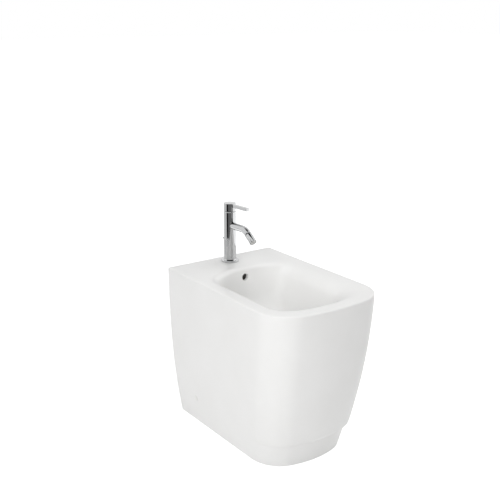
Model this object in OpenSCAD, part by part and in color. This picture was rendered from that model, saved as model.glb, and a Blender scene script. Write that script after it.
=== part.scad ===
// Floor-standing bidet with a single-lever mixer and a pop-up waste.
// Millimetres. +Z is up, the wall is at +Y, the user's side is -Y.
// The origin is on the floor, under the middle of the ceramic's outline.

/* [Ceramic body] */
// Width of the ceramic at the rim
body_w = 355; // [345:1:370]
// Length of the ceramic from the wall to its front
body_l = 525; // [515:1:545]
// Height of the rim and of the tap deck above the floor
body_h = 450; // [440:1:465]
// Thickness of the fired ceramic
wall = 11; // [9:0.5:12]
// How much each side draws in from the rim to the floor
side_draw = 34.3; // [28:0.5:38]
// How much the front draws in from the rim to the floor
front_draw = 67.4; // [55:0.5:75]
// Radius of the two front corners in plan
corner_r = 94; // [80:1:100]
// How far the front bows out between its corners
front_bow = 27.5; // [20:0.5:35]
// Radius of the rounded outer edge of the rim
edge_r = 5; // [3:0.5:7]

/* [Plinth] */
// Height of the recessed plinth at the front
plinth_h = 70.8; // [60:1:85]
// How far the plinth is set back at the front
plinth_back = 12.4; // [9:0.2:15]
// Radius under the front skirt, above the plinth
skirt_r = 8; // [5:0.5:9]

/* [Basin] */
// Width of the rim, from the ceramic's outside to the basin
rim_w = 22; // [19:0.5:26]
// Distance from the wall to the basin's rear edge
deck_l = 113; // [108:1:120]
// Depth of the basin below the rim
basin_depth = 150; // [140:1:160]
// Distance from the wall to the middle of the drain
drain_from_wall = 255; // [248:1:262]
// Radius of the roll at the basin's rear edge
rear_roll_r = 12; // [11:0.5:15]
// Radius of the roll along the basin's sides
side_roll_r = 50; // [40:1:55]
// Radius of the roll at the basin's front
front_roll_r = 60; // [45:1:70]
// Diameter of the overflow hole
overflow_d = 20; // [16:0.5:22]
// Depth of the overflow hole's middle below the rim
overflow_down = 28.5; // [28:0.5:34]

/* [Tap body] */
// Distance from the wall to the tap's axis
tap_from_wall = 50; // [46:0.5:56]
// Diameter of the tap hole in the deck
tap_hole_d = 35; // [34:0.5:36]
// Diameter of the tap's body
tap_d = 35; // [34.4:0.2:37]
// Height of the tap's body above the deck
tap_h = 146; // [138:1:154]
// Diameter of the flange under the tap
flange_d = 51; // [48:0.5:56]
// Thickness of that flange
flange_t = 3.6; // [3:0.2:4.6]
// Diameter of each threaded hose socket under the tap
hose_socket_d = 9; // [8.6:0.1:9.4]

/* [Lever] */
// Height of the lever head's top above the tap body's top
head_h = 25; // [23:0.5:28]
// Running gap between the lever head and the dome below it
head_gap = 1.5; // [1:0.1:2]
// Depth of the lever's pivot below the tap body's top
pivot_down = 12; // [11:0.5:13]
// Length of the lever bar, from the tap's axis to its tip
lever_l = 87.5; // [75:0.5:100]
// Width of the lever bar
lever_w = 10; // [8:0.5:11]
// Height of the lever bar
lever_t = 9; // [8:0.5:10]
// Slope of the lever bar when it is shut
lever_rise = 2; // [0:0.5:4]
// How far the lever lifts, in degrees
lever_lift = 20; // [16:1:22]

/* [Spout and aerator] */
// Height of the spout's axis above the deck, at the tap body
spout_z = 107; // [101:1:113]
// Diameter of the spout
spout_d = 20; // [19:0.5:21]
// Diameter of the spout's waterway
spout_bore = 12.5; // [10:0.5:13]
// Slope of the spout's straight root
spout_rise = 1.5; // [0:0.5:4]
// Distance from the tap's axis to the start of the bend
spout_run = 62; // [55:0.5:68]
// Radius of the bend
bend_r = 40; // [34:1:44]
// How far the bend turns down, in degrees
bend_turn = 37; // [32:1:42]
// Length of the straight end after the bend
spout_end = 4; // [3:0.5:8]
// Diameter of the aerator's housing
aerator_d = 20.6; // [20:0.2:21.6]
// Length of the aerator's housing
aerator_l = 28; // [24:0.5:32]
// Diameter of the swivel ball
swivel_d = 14; // [13.4:0.2:14.6]
// How far the aerator swivels each way, in degrees
swivel_turn = 12; // [8:1:13]

/* [Pop-up waste] */
// Height of the lift knob's middle above the deck
knob_up = 63; // [55:1:75]
// Diameter of the lift knob
knob_d = 11; // [9:0.5:12]
// Lean of the lift rod away from the tap, in degrees
rod_lean = 14; // [13:0.5:15]
// Diameter of the lift rod and of the pivot rod
rod_d = 5; // [4.6:0.1:5.2]
// Travel of the lift rod
rod_travel = 28; // [20:1:30]
// Diameter of the pivot rod's ball
pivot_ball_d = 12; // [11:0.2:12.4]
// Diameter of the waste's flange in the basin
waste_flange_d = 63; // [60:0.5:66]
// Outer diameter of the waste's threaded tube
waste_d = 43; // [42:0.5:44]
// Diameter of the plug's cap
plug_d = 38; // [36:0.5:40]

/* [Trap] */
// Diameter of the trap's pipes
pipe_d = 32; // [30:0.5:34]
// Wall of the trap's pipes
pipe_wall = 1.6; // [1.2:0.1:2]
// Height of the outlet pipe's axis below the basin's floor
outlet_down = 145; // [140:1:155]
// Diameter of the trap's cup
cup_d = 60; // [56:1:66]
// Depth of the cup below the outlet pipe's axis
cup_down = 100; // [85:1:110]

/* [Floor fixings] */
// Height of the side screws above the floor
side_screw_z = 82; // [75:1:95]
// Distance from the wall to the side screws
side_screw_from_wall = 103; // [95:1:115]
// Diameter of the cover caps
cap_d = 15; // [13:0.5:17]
// Diameter of the floor brackets' screw holes
bracket_hole_d = 8; // [6:0.5:9]
// Thickness of the floor brackets
bracket_t = 5; // [4:0.5:6]

/* [Hidden] */
$fn = 64;

// Colours
china = "#f1f0ee";
chrome = "#c9cbcd";
steel = "#a9abad";
brass = "#c9a961";
rubber = "#2b2b2c";
nylon = "#e9e9e6";
alumina = "#f6efe2";

// Clearances
touch = 0.02;   // between faces that bear on each other
run = 0.05;     // radial clearance of a running fit
slip = 0.3;     // between neighbours that must not rub
cut = 1;        // how far a cutting solid passes the face it cuts

// Places in plan
wall_y = body_l / 2;
tap_y = wall_y - tap_from_wall;
drain_y = wall_y - drain_from_wall;

function from_wall(d) = wall_y - d;

// ---------------------------------------------------------------- ceramic body
// Steps along each stretch of the outline
bow_steps = 3;
rear_corner_steps = 4;
front_corner_steps = 8;
side_steps = 5;
rear_corner_r = 4;
side_power = 2.56;      // how late the sides draw in, going down
front_power = 1.56;     // how late the front draws in, going down
plan_taper_top = 0.7;   // each side closes by this much from rear to front, at the rim
plan_taper_floor = 8.2; // and by this much at the floor
front_bow_more = 10.4;  // the front bows out more at the floor than at the rim
front_corner_less = 4;  // and its corners are tighter there
basin_rear_bow = 40;
basin_rear_bow_less = 22;       // how much the basin's outline tightens from the rim to its floor
basin_rear_corner_r = 45;
basin_rear_corner_less = 15;
basin_front_bow_less = 5;
basin_front_corner_less = 42;
side_floor_r = 50;      // radii where the basin's walls run into its floor
rear_floor_r = 80;
front_floor_r = 120;
least_straight = 5;     // shortest straight stretch of a basin wall, between its two radii
basin_floor_w = 84;     // width of the basin's flat floor
basin_floor_rear = 45;  // its reach behind and in front of the drain
basin_floor_front = 60;

// Half of a rounded end: from its middle round to the side, with the end's middle at y = 0.
// sag is how much the end bows, r the corner's radius, and steps the points round the corner.
function half_end(hw, sag, r, steps) =
    let(big = sag > 0 ? (hw * hw + sag * sag) / (2 * sag) : 0,
        corner_y = sag > 0 ? sqrt(pow(big - r, 2) - pow(hw - r, 2)) - big : -r,
        turn = sag > 0 ? atan2(corner_y + big, hw - r) : 90)
    concat(
        [for (i = [0 : bow_steps])
            let(t = i / bow_steps, a = 90 + (turn - 90) * t)
            sag > 0 ? [big * cos(a), big * sin(a) - big] : [t * (hw - r), 0]],
        [for (i = [1 : steps])
            let(a = turn * (1 - i / steps))
            [hw - r + r * cos(a), corner_y + r * sin(a)]]);

function last(list) = list[len(list) - 1];

// One closed outline at height z, seen from above, from the rear middle round the +X side
function outline(hw, rear, front, rear_sag, rear_r, front_sag, front_r, taper, z) =
    let(back = [for (p = half_end(hw, rear_sag, rear_r, rear_corner_steps)) [p.x, rear + p.y]],
        nose = [for (p = half_end(hw, front_sag, front_r, front_corner_steps)) [p.x, front - p.y]],
        a = last(back), b = last(nose),
        flank = [for (i = [1 : side_steps - 1]) a + (b - a) * i / side_steps],
        half = concat(back, flank, [for (i = [len(nose) - 1 : -1 : 0]) nose[i]]),
        drawn = [for (p = half) [p.x * (1 - taper / hw * (rear - p.y) / (rear - front)), p.y]])
    concat([for (p = drawn) [p.x, p.y, z]],
           [for (i = [len(drawn) - 2 : -1 : 1]) [-drawn[i].x, drawn[i].y, z]]);

function down_share(z) = 1 - z / body_h;
function half_width_at(z) = body_w / 2 - side_draw * pow(down_share(z), side_power);
function front_at(z) = -wall_y + front_draw * pow(down_share(z), front_power);
function plan_taper_at(z) = plan_taper_top + (plan_taper_floor - plan_taper_top) * down_share(z);

// The outside at height z, drawn in all round by inset, and at the front by front_inset more
function outside(z, inset, front_inset, rear_inset) =
    outline(half_width_at(z) - inset, wall_y - rear_inset, front_at(z) + inset + front_inset,
            0, max(1, rear_corner_r - inset), front_bow + front_bow_more * down_share(z),
            corner_r - inset - front_corner_less * down_share(z), plan_taper_at(z), z);

// Section of a basin wall: a roll of radius r1 at the top, a straight wall and a cove of radius r2.
// It falls by drop over the horizontal reach, and gives how far in the wall is at depth d.
function wall_angle(r1, r2, reach, drop) =
    atan2(drop - r1 - r2, reach)
    + atan2(r1 + r2, sqrt(reach * reach + pow(drop - r1 - r2, 2) - pow(r1 + r2, 2)));
function wall_in(d, r1, r2, reach, drop) =
    let(a = wall_angle(r1, r2, reach, drop), roll = r1 * (1 - cos(a)), cove = r2 * (1 - cos(a)))
    d <= roll ? sqrt(r1 * r1 - pow(r1 - d, 2))
    : d >= drop - cove ? reach - sqrt(r2 * r2 - pow(r2 - (drop - d), 2))
    : r1 * sin(a) + (d - roll) / tan(a);

basin_hw = body_w / 2 - rim_w;
basin_rear = from_wall(deck_l);
basin_front = -wall_y + rim_w;
side_reach = basin_hw - basin_floor_w / 2;
rear_reach = basin_rear - drain_y - basin_floor_rear;
front_reach = drain_y - basin_floor_front - basin_front;

// A wall that has little reach gets a smaller radius at its floor than r2, so that both radii fit
function cove_r(r1, r2, reach) =
    min(r2, (pow(reach, 2) + pow(basin_depth, 2) - pow(least_straight, 2)) / (2 * basin_depth) - r1);
side_cove_r = cove_r(side_roll_r, side_floor_r, side_reach);
rear_cove_r = cove_r(rear_roll_r, rear_floor_r, rear_reach);
front_cove_r = cove_r(front_roll_r, front_floor_r, front_reach);

// The basin at depth d. With thick = 0 it is the glazed face, and with thick = wall the face below.
function basin_wall_in(d, thick, r1, r2, reach) = wall_in(d, r1 - thick, r2 + thick, reach, basin_depth);
function basin(d, thick) =
    let(t = d / basin_depth, z = body_h - thick - d)
    outline(basin_hw - basin_wall_in(d, thick, side_roll_r, side_cove_r, side_reach),
            basin_rear - basin_wall_in(d, thick, rear_roll_r, rear_cove_r, rear_reach),
            basin_front + basin_wall_in(d, thick, front_roll_r, front_cove_r, front_reach),
            basin_rear_bow - basin_rear_bow_less * t,
            basin_rear_corner_r - basin_rear_corner_less * t,
            front_bow - basin_front_bow_less * t,
            corner_r - rim_w - basin_front_corner_less * t, 0, z);

basin_steps = [1, 0.99, 0.955, 0.895, 0.81, 0.7, 0.55, 0.4, 0.28, 0.19, 0.12];
rim_steps = [0.068, 0.032, 0.011, 0];
under_steps = [0.04, 0.1, 0.2, 0.33, 0.5, 0.68, 0.82, 0.92, 0.98, 1];
side_heights = [0.82, 0.66, 0.5, 0.38, 0.27];
inner_heights = [0, 0.18, 0.28, 0.45, 0.65, 0.85];
rear_edge_r = 2;

// How much the hollow's front is set back to follow the plinth, fading out over some height above it
plinth_fade = 60;
function inner_back(z) = plinth_back * max(0, 1 - max(0, z - plinth_h - wall) / plinth_fade);

// The casting is one piece, and its hollow lies between the basin and the skirt. It is given here as
// rim, basin and skirt, which meet at this height, so that each is a simple shell.
hollow_top = body_h - wall;
seam_z = hollow_top - 2;

// Closed solid through a list of rings with the same number of points. It is capped at both ends,
// or, where it goes round a hollow, its last ring is joined to its first.
module loft(rings, joined = false) {
    n = len(rings[0]);
    count = len(rings);
    points = [for (ring = rings) each ring];
    sides = [for (k = [0 : joined ? count - 1 : count - 2]) for (i = [0 : n - 1])
        let(j = (i + 1) % n, a = k * n, b = (k + 1) % count * n)
        each [[a + i, b + j, a + j], [a + i, b + i, b + j]]];
    caps = [[for (i = [0 : n - 1]) i], [for (i = [n - 1 : -1 : 0]) (count - 1) * n + i]];
    polyhedron(points, joined ? sides : concat(sides, caps));
}

// Service opening at the back, under the tap deck
opening_w = 236;
opening_down = 62;
opening_top = body_h - opening_down;
opening_r = 30;

// Seat of the waste in the basin's floor
basin_floor_z = body_h - basin_depth;
waste_recess = 2.5;
waste_recess_d = waste_flange_d + 3;
waste_hole_d = waste_d + 3;

// The overflow runs down a duct cast behind the basin's rear wall and under its cove
overflow_z = body_h - overflow_down;
duct_d = 18;
duct_bore = 10;
duct_end_d = 13;        // the duct and its bore narrow under the basin's floor
duct_end_bore = 7;
duct_path_r = rear_cove_r + wall + 5;
duct_mid_turn = 36;
duct_end_z = basin_floor_z - 7;
duct_y = drain_y + basin_floor_rear + duct_path_r;
duct_chamber_wall = 4;

// Where the duct turns, as distances back from the cove's middle and down from it
duct_low = basin_floor_z + rear_cove_r - duct_end_z;
duct_turns = [for (p = [[1, 0], [cos(duct_mid_turn), sin(duct_mid_turn)],
                        [sqrt(1 - pow(duct_low / duct_path_r, 2)), duct_low / duct_path_r]])
    [0, drain_y + basin_floor_rear + duct_path_r * p.x,
     basin_floor_z + rear_cove_r - duct_path_r * p.y]];

// Screws through the side walls
side_lean = atan(side_draw * side_power * pow(down_share(side_screw_z), side_power - 1) / body_h);
side_screw_x = half_width_at(side_screw_z)
    - plan_taper_at(side_screw_z) * side_screw_from_wall / body_l;
side_screw_d = 6;
cap_sunk = 1.2;

// Puts its children on a side screw's axis, with +Z out of the ceramic. side is 1 or -1.
module at_side_screw(side) {
    translate([side * side_screw_x, from_wall(side_screw_from_wall), side_screw_z])
        rotate([0, side * (90 + side_lean), 0]) children();
}

// Straight round run between two points in the plane x = 0
module straight_run(from, to, d) {
    way = to - from;
    translate(from) rotate([atan2(norm([way.x, way.y]), way.z) * (way.y > 0 ? -1 : 1), 0, 0])
        cylinder(d = d, h = norm(way));
}

// The overflow duct as one run of the given diameters, stopping short of the drain by short
module duct(d, end_d, short) {
    straight_run([0, duct_y, overflow_z], duct_turns[0], d);
    straight_run(duct_turns[0], duct_turns[1], d);
    straight_run(duct_turns[1], duct_turns[2], d);
    straight_run(duct_turns[2], [0, drain_y + short, duct_end_z], end_d);
    for (turn = duct_turns) translate(turn) sphere(d = d + 1);
}

module ceramic_rim() color(china) difference() {
    loft(joined = true, rings = concat(
        [basin(body_h - seam_z, 0)],
        [for (s = rim_steps) basin(s * basin_depth, 0)],
        [for (a = [90 : -30 : 0])
            outside(body_h - edge_r * (1 - sin(a)), edge_r * (1 - cos(a)), 0,
                    rear_edge_r * (1 - cos(a)))],
        [outside(seam_z, 0, 0, 0), outside(seam_z, wall, 0, wall), outside(hollow_top, wall, 0, wall)],
        [basin(0, wall), basin(hollow_top - seam_z, wall)]));
    // tap hole
    translate([0, tap_y, hollow_top - cut]) cylinder(d = tap_hole_d, h = wall + 2 * cut);
}

module ceramic_basin() color(china) difference() {
    union() {
        loft(concat(
            [for (s = basin_steps) basin(s * basin_depth, 0)],
            [basin(body_h - seam_z + touch, 0), basin(hollow_top - seam_z + touch, wall)],
            [for (s = under_steps) basin(s * basin_depth, wall)]));
        duct(duct_d, duct_end_d, waste_flange_d / 2 + 5);
        // chamber behind the overflow hole
        translate([0, duct_y - wall, overflow_z]) rotate([-90, 0, 0])
            cylinder(d = overflow_d + 2 * duct_chamber_wall, h = wall + duct_d / 2);
    }
    duct(duct_bore, duct_end_bore, 0);
    // overflow hole
    translate([0, duct_y + duct_bore / 2 + 1, overflow_z]) rotate([90, 0, 0])
        cylinder(d = overflow_d, h = 30);
    // waste hole and the recess for its flange
    translate([0, drain_y, basin_floor_z - wall - cut])
        cylinder(d = waste_hole_d, h = wall + 2 * cut);
    translate([0, drain_y, basin_floor_z - waste_recess]) cylinder(d = waste_recess_d, h = wall);
}

module ceramic_skirt() color(china) difference() {
    loft(joined = true, rings = concat(
        [outside(seam_z - touch, 0, 0, 0)],
        [for (s = side_heights) outside(s * body_h, 0, 0, 0)],
        [for (a = [0 : 30 : 90])
            outside(plinth_h + skirt_r * (1 - sin(a)), 0, skirt_r * (1 - cos(a)), 0)],
        [outside(plinth_h - 0.5, 0, plinth_back, 0),
         outside(plinth_h / 2, 0, plinth_back, 0),
         outside(0, 0, plinth_back, 0)],
        [for (s = inner_heights) let(z = s * hollow_top) outside(z, wall, inner_back(z), wall)],
        [outside(seam_z - touch, wall, 0, wall)]));
    // service opening at the back
    translate([0, wall_y + cut, 0]) rotate([90, 0, 0]) linear_extrude(wall + 2 * cut) union() {
        translate([-opening_w / 2, -cut]) square([opening_w, opening_top - opening_r + cut]);
        translate([opening_r - opening_w / 2, 0]) square([opening_w - 2 * opening_r, opening_top]);
        for (side = [-1, 1])
            translate([side * (opening_w / 2 - opening_r), opening_top - opening_r])
                circle(r = opening_r);
    }
    // side screw holes, with a spot face for each cover cap
    for (side = [-1, 1]) at_side_screw(side) {
        translate([0, 0, -2.5 * wall]) cylinder(d = side_screw_d + 2, h = 4 * wall);
        translate([0, 0, -cap_sunk]) cylinder(d = cap_d + 1, h = wall);
    }
}

// ------------------------------------------------------------- floor fixings
// Inside face of the side wall at height z, beside the side screws
function inner_x(z) = half_width_at(z) - plan_taper_at(z) * side_screw_from_wall / body_l - wall;
bracket_gap = 2;
bracket_top = side_screw_z + 20;
bracket_w = 44;
bracket_foot = 40;
bracket_x = inner_x(0) - bracket_gap;
bracket_top_x = bracket_x + (inner_x(bracket_top) - inner_x(0));
bracket_boss_d = 18;
bracket_boss_in = 6;    // how far the boss stands inside the bracket
screw_head_d = side_screw_d + 1.6;
screw_head_t = 3;
screw_past = 10;        // how far the screw passes the bracket
cap_pin_d = 4;          // the cap's pin, pressed into the screw's socket

// L-shaped bracket that is screwed to the floor inside the foot. side is 1 or -1.
module floor_bracket(side) color(nylon) difference() {
    union() {
        translate([0, from_wall(side_screw_from_wall) + bracket_w / 2, 0]) rotate([90, 0, 0])
            linear_extrude(bracket_w) polygon([for (p = [
                [bracket_x - bracket_foot, 0], [bracket_x, 0], [bracket_top_x, bracket_top],
                [bracket_top_x - bracket_t, bracket_top], [bracket_x - bracket_t + 1, bracket_t],
                [bracket_x - bracket_foot, bracket_t]]) [side * p.x, p.y]]);
        at_side_screw(side) translate([0, 0, -wall - bracket_gap - bracket_t - bracket_boss_in])
            cylinder(d = bracket_boss_d, h = bracket_gap + bracket_t + bracket_boss_in - 2 * slip);
    }
    translate([side * (bracket_x - bracket_foot / 2 - 2), from_wall(side_screw_from_wall), -cut])
        cylinder(d = bracket_hole_d, h = bracket_t + 2 * cut);
    at_side_screw(side) translate([0, 0, -wall - 30]) cylinder(d = side_screw_d + 2 * touch, h = 40);
}
module floor_bracket_left() floor_bracket(-1);
module floor_bracket_right() floor_bracket(1);

module side_screws() color(steel) for (side = [-1, 1]) at_side_screw(side) difference() {
    union() {
        translate([0, 0, -wall - bracket_gap - bracket_t - screw_past])
            cylinder(d = side_screw_d,
                     h = wall + bracket_gap + bracket_t + screw_past - cap_sunk - screw_head_t);
        translate([0, 0, -cap_sunk - screw_head_t - 0.2]) cylinder(d = screw_head_d, h = screw_head_t);
    }
    translate([0, 0, -cap_sunk - 2]) cylinder(d = cap_pin_d, h = 4);
}

module cover_caps() color(nylon) for (side = [-1, 1]) at_side_screw(side) {
    translate([0, 0, -cap_sunk + touch]) cylinder(d = cap_d, h = cap_sunk);
    cylinder(d1 = cap_d, d2 = cap_d - 2, h = 0.7);
    translate([0, 0, -cap_sunk - 1.8]) cylinder(d = cap_pin_d - 4 * touch, h = 2);
}

// -------------------------------------------------------------------- tap body
gasket_t = 1;
tap_z = body_h + gasket_t + flange_t;      // underside of the body's shoulder
tap_top = body_h + tap_h;
tap_r = tap_d / 2;
spigot_r = tap_r - 1.6;
spigot_z = body_h - 4;
stud_y = -10.6;
stud_d = 8;
socket_x = 7.2;
socket_y = 1;
socket_deep = 14;
inlet_bore = 6.2;
mixed_y = -6.5;         // the mixed water's way, in front of the tap's axis
stud_deep = 10;         // how far the stud is screwed into the body
cartridge_bore_r = tap_r - 3;
cartridge_z = tap_top - 28;
rod_in_deck = 11.5;
spout_axis_z = body_h + spout_z;

// Puts its children on the spout's straight root, with +Z outwards along it
module at_spout() {
    translate([0, tap_y, spout_axis_z]) rotate([90 - spout_rise, 0, 0]) children();
}

// Puts its children on the lift rod, with +Z up along it and z = 0 at the deck
module at_rod() {
    translate([0, tap_y + rod_in_deck, body_h]) rotate([-rod_lean, 0, 0]) children();
}

module ring(outer_d, bore_d, h) {
    difference() {
        cylinder(d = outer_d, h = h);
        translate([0, 0, -cut]) cylinder(d = bore_d, h = h + 2 * cut);
    }
}

module mixer_body() color(chrome) difference() {
    translate([0, tap_y, 0]) union() {
        translate([0, 0, tap_z]) cylinder(d = tap_d, h = tap_top - tap_z);
        translate([0, 0, spigot_z]) cylinder(r = spigot_r, h = tap_z - spigot_z + cut);
    }
    translate([0, tap_y, 0]) {
        // cartridge chamber
        translate([0, 0, cartridge_z])
            cylinder(r = cartridge_bore_r, h = tap_top - cartridge_z + cut);
        // hot and cold ways, with a threaded hose socket at the foot of each
        for (side = [-1, 1]) translate([side * socket_x, socket_y, spigot_z - cut]) {
            cylinder(d = hose_socket_d, h = socket_deep + cut);
            cylinder(d = inlet_bore, h = cartridge_z - spigot_z + 2 * cut);
        }
        // mixed water way down to the spout
        translate([0, mixed_y, spout_axis_z])
            cylinder(d = inlet_bore, h = cartridge_z - spout_axis_z + cut);
        // hole for the mounting stud
        translate([0, stud_y, spigot_z - cut])
            cylinder(d = stud_d + 2 * touch, h = stud_deep + 2 * cut);
    }
    // socket that the spout is brazed into
    at_spout() translate([0, 0, 4]) cylinder(d = spout_root_d + 2 * touch, h = tap_d);
    // channel for the lift rod
    at_rod() translate([0, 0, -20]) cylinder(d = rod_d + 4 * run, h = 90);
}

// The flange's skirt stops just above the deck, so that it is carried by its gasket
flange_lift = 0.1;
flange_bevel = 1.5;
module base_flange() color(chrome) translate([0, tap_y, 0]) difference() {
    translate([0, 0, body_h + flange_lift]) union() {
        cylinder(d = flange_d, h = flange_t / 2);
        translate([0, 0, flange_t / 2])
            cylinder(d1 = flange_d, d2 = flange_d - 2 * flange_bevel,
                     h = tap_z - body_h - flange_lift - flange_t / 2);
    }
    translate([0, 0, body_h]) cylinder(r = spigot_r + run, h = 2 * flange_t);
    translate([0, 0, body_h - cut]) cylinder(d = flange_d - 5, h = gasket_t + cut);
}

module deck_gasket() color(rubber)
    translate([0, tap_y, body_h]) ring(flange_d - 6, tap_hole_d + 1, gasket_t);

clamp_d = 46;
clamp_t = 2;
clamp_gap_w = 25;

// Horseshoe plate under the deck, open at the back for the hoses and the lift rod
module horseshoe(z) {
    translate([0, tap_y, z]) difference() {
        cylinder(d = clamp_d, h = clamp_t);
        translate([-clamp_gap_w / 2, stud_y + stud_d / 2 + 1.8, -cut])
            cube([clamp_gap_w, clamp_d, clamp_t + 2 * cut]);
        translate([0, stud_y, -cut]) cylinder(d = stud_d + 0.4, h = clamp_t + 2 * cut);
    }
}
module clamp_washer_rubber() color(rubber) horseshoe(hollow_top - clamp_t);
module clamp_washer_steel() color(steel) horseshoe(hollow_top - 2 * clamp_t);

nut_across = 13;
stud_nut_h = 18;
stud_low_z = hollow_top - 2 * clamp_t - stud_nut_h - 6;

module mounting_stud() color(steel)
    translate([0, tap_y + stud_y, stud_low_z]) cylinder(d = stud_d, h = spigot_z + stud_deep - stud_low_z);

// Hexagonal nut, with across the distance between its flats
module hex_nut(across, bore, h) {
    difference() {
        cylinder(d = across / cos(30), h = h, $fn = 6);
        translate([0, 0, -cut]) cylinder(d = bore, h = h + 2 * cut);
    }
}
module stud_nut() color(brass)
    translate([0, tap_y + stud_y, hollow_top - 2 * clamp_t - stud_nut_h])
        hex_nut(nut_across, stud_d + 2 * touch, stud_nut_h);

// ------------------------------------------------------------------- spout
spout_root_d = spout_bore + 2.4;
spout_land = 0.05;
spout_land_in = 0.5;
spout_tip_y = -bend_r * (1 - cos(bend_turn)) - spout_end * sin(bend_turn);
spout_tip_z = spout_run + bend_r * sin(bend_turn) + spout_end * cos(bend_turn);

// A run of the spout's tube of diameter d, from a distance out along its root to its tip.
// Its straight end is turned to a land of diameter end_d, past the tip by extra.
module spout_run_of(d, end_d, from, extra) {
    at_spout() {
        translate([0, 0, from]) cylinder(d = d, h = spout_run - from);
        translate([0, -bend_r, spout_run]) rotate([90, 0, 90])
            rotate_extrude(angle = bend_turn) translate([bend_r, 0]) circle(d = d);
        translate([0, spout_tip_y, spout_tip_z]) rotate([bend_turn, 0, 0])
            translate([0, 0, -spout_end - spout_land_in])
                cylinder(d = end_d, h = spout_end + spout_land_in + extra);
    }
}

module spout() color(chrome) difference() {
    union() {
        difference() {
            spout_run_of(spout_d, spout_d - 2 * spout_land, tap_r / 2, 0);
            translate([0, tap_y, tap_z]) cylinder(r = tap_r + touch, h = tap_h);
        }
        at_spout() translate([0, 0, 10]) cylinder(d = spout_root_d, h = tap_r);
    }
    spout_run_of(spout_bore, spout_bore + 2 * spout_land, 9, cut);
}

// -------------------------------------------------- swivel joint and aerator
swivel_r = swivel_d / 2;
aerator_r = aerator_d / 2;
aerator_back = 3;       // from the ball's middle back to the housing's rim
swivel_both = acos(pow(cos(swivel_turn), 2));
swivel_out = aerator_back * cos(swivel_both) + aerator_r * sin(swivel_both) + slip;
seat_r = swivel_r + 1;
neck_d = 8.4;

// Puts its children at the ball's middle, with +Z out along the spout's end
module at_swivel() {
    at_spout() translate([0, spout_tip_y, spout_tip_z]) rotate([bend_turn, 0, 0])
        translate([0, 0, swivel_out]) children();
}

module swivel_ball() color(chrome) at_swivel() difference() {
    union() {
        sphere(r = swivel_r);
        translate([0, 0, -swivel_out - 7]) cylinder(d = neck_d, h = swivel_out + 7);
        translate([0, 0, -swivel_out - 4]) cylinder(d = spout_bore, h = 3.5);
    }
    translate([0, 0, -swivel_out - 10]) cylinder(d = 5, h = 30);
}

// Part of a ball joint's shell: between two spheres and two planes
module ball_shell(r_in, r_out, z_low, z_high) {
    intersection() {
        difference() {
            sphere(r = r_out);
            sphere(r = r_in);
        }
        translate([0, 0, z_low]) cylinder(r = 2 * r_out, h = z_high - z_low);
    }
}

module swivel_seat_ring() color(nylon) at_swivel() ball_shell(swivel_r + run, seat_r, 0.8, 4.6);

insert_bore_r = swivel_r + 0.3;
cavity_end = 6.8;
module aerator_housing() color(chrome) at_swivel() difference() {
    translate([0, 0, -aerator_back]) rotate_extrude() polygon([
        [0, 0], [aerator_r - 0.6, 0], [aerator_r, 0.6], [aerator_r, aerator_l - 0.8],
        [aerator_r - 0.8, aerator_l], [0, aerator_l]]);
    sphere(r = swivel_r + run);
    intersection() {
        sphere(r = seat_r + run);
        translate([0, 0, -1.2]) cylinder(r = aerator_r, h = aerator_r);
    }
    cylinder(r = swivel_r - 0.6, h = aerator_l);
    translate([0, 0, cavity_end]) cylinder(r = insert_bore_r, h = aerator_l);
}

insert_holes = 6;
insert_h = 8;
insert_low = aerator_l - aerator_back - insert_h - 0.6;
module aerator_insert() color(nylon) at_swivel() translate([0, 0, insert_low])
    difference() {
        cylinder(r = insert_bore_r - touch, h = insert_h);
        translate([0, 0, -cut]) cylinder(r = insert_bore_r - 1.2, h = insert_h - 1.2);
        for (turn = [0 : insert_holes - 1]) for (row = [1, 2])
            rotate([0, 0, turn * 360 / insert_holes + row * 15]) translate([row * 2.4, 0, 0])
                cylinder(d = 1.2, h = insert_h + cut);
    }

// ------------------------------------------------------------------ cartridge
pivot_z = tap_top - pivot_down;
stem_tilt = lever_lift / 2;     // the shut stem leans forward by half of the lever's lift
disc_r = 12;
fixed_disc_z = cartridge_z + 1;
fixed_disc_t = 4;
sliding_disc_z = fixed_disc_z + fixed_disc_t + touch;
sliding_disc_t = 2.4;
carriage_top = pivot_z - 5.4;
rotor_z = carriage_top + slip;
rotor_r = 10;
rotor_flange_r = 11.2;
rotor_flange_t = 1.6;
housing_top = tap_top - 4;
housing_neck_z = tap_top - 10;
housing_neck_r = 12;
stem_w = 6;
stem_ball_r = 2.1;
stem_ball_z = pivot_z - 7.2;
stem_ball_y = (pivot_z - stem_ball_z) * sin(stem_tilt);
stem_top = 31;
pin_d = 3;

// Puts its children at the middle of the lever's pivot
module at_pivot() {
    translate([0, tap_y, pivot_z]) children();
}

// Three water ports, as in the seal and in the fixed disc
module ports(z, h) {
    for (place = [[-socket_x, socket_y, z], [socket_x, socket_y, z], [0, mixed_y, z]])
        translate(place) cylinder(d = inlet_bore - 1, h = h);
}

module cartridge_seal() color(rubber) translate([0, tap_y, 0]) difference() {
    translate([0, 0, cartridge_z]) cylinder(r = disc_r, h = fixed_disc_z - cartridge_z);
    ports(cartridge_z - cut, 4);
}

module fixed_disc() color(alumina) translate([0, tap_y, 0]) difference() {
    translate([0, 0, fixed_disc_z]) cylinder(r = disc_r, h = fixed_disc_t);
    ports(fixed_disc_z - cut, fixed_disc_t + 2 * cut);
}

// The upper disc, with the carriage that the stem's ball end pushes to and fro
module sliding_disc() color(alumina) translate([0, tap_y, 0]) difference() {
    translate([0, stem_ball_y, 0]) union() {
        translate([0, 0, sliding_disc_z]) cylinder(r = 9.4, h = sliding_disc_t);
        translate([0, 0, sliding_disc_z + sliding_disc_t])
            cylinder(r = 6.4, h = carriage_top - sliding_disc_z - sliding_disc_t);
    }
    translate([0, stem_ball_y, stem_ball_z - stem_ball_r - 0.4])
        cylinder(r = stem_ball_r + 0.15, h = 10);
}

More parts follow.
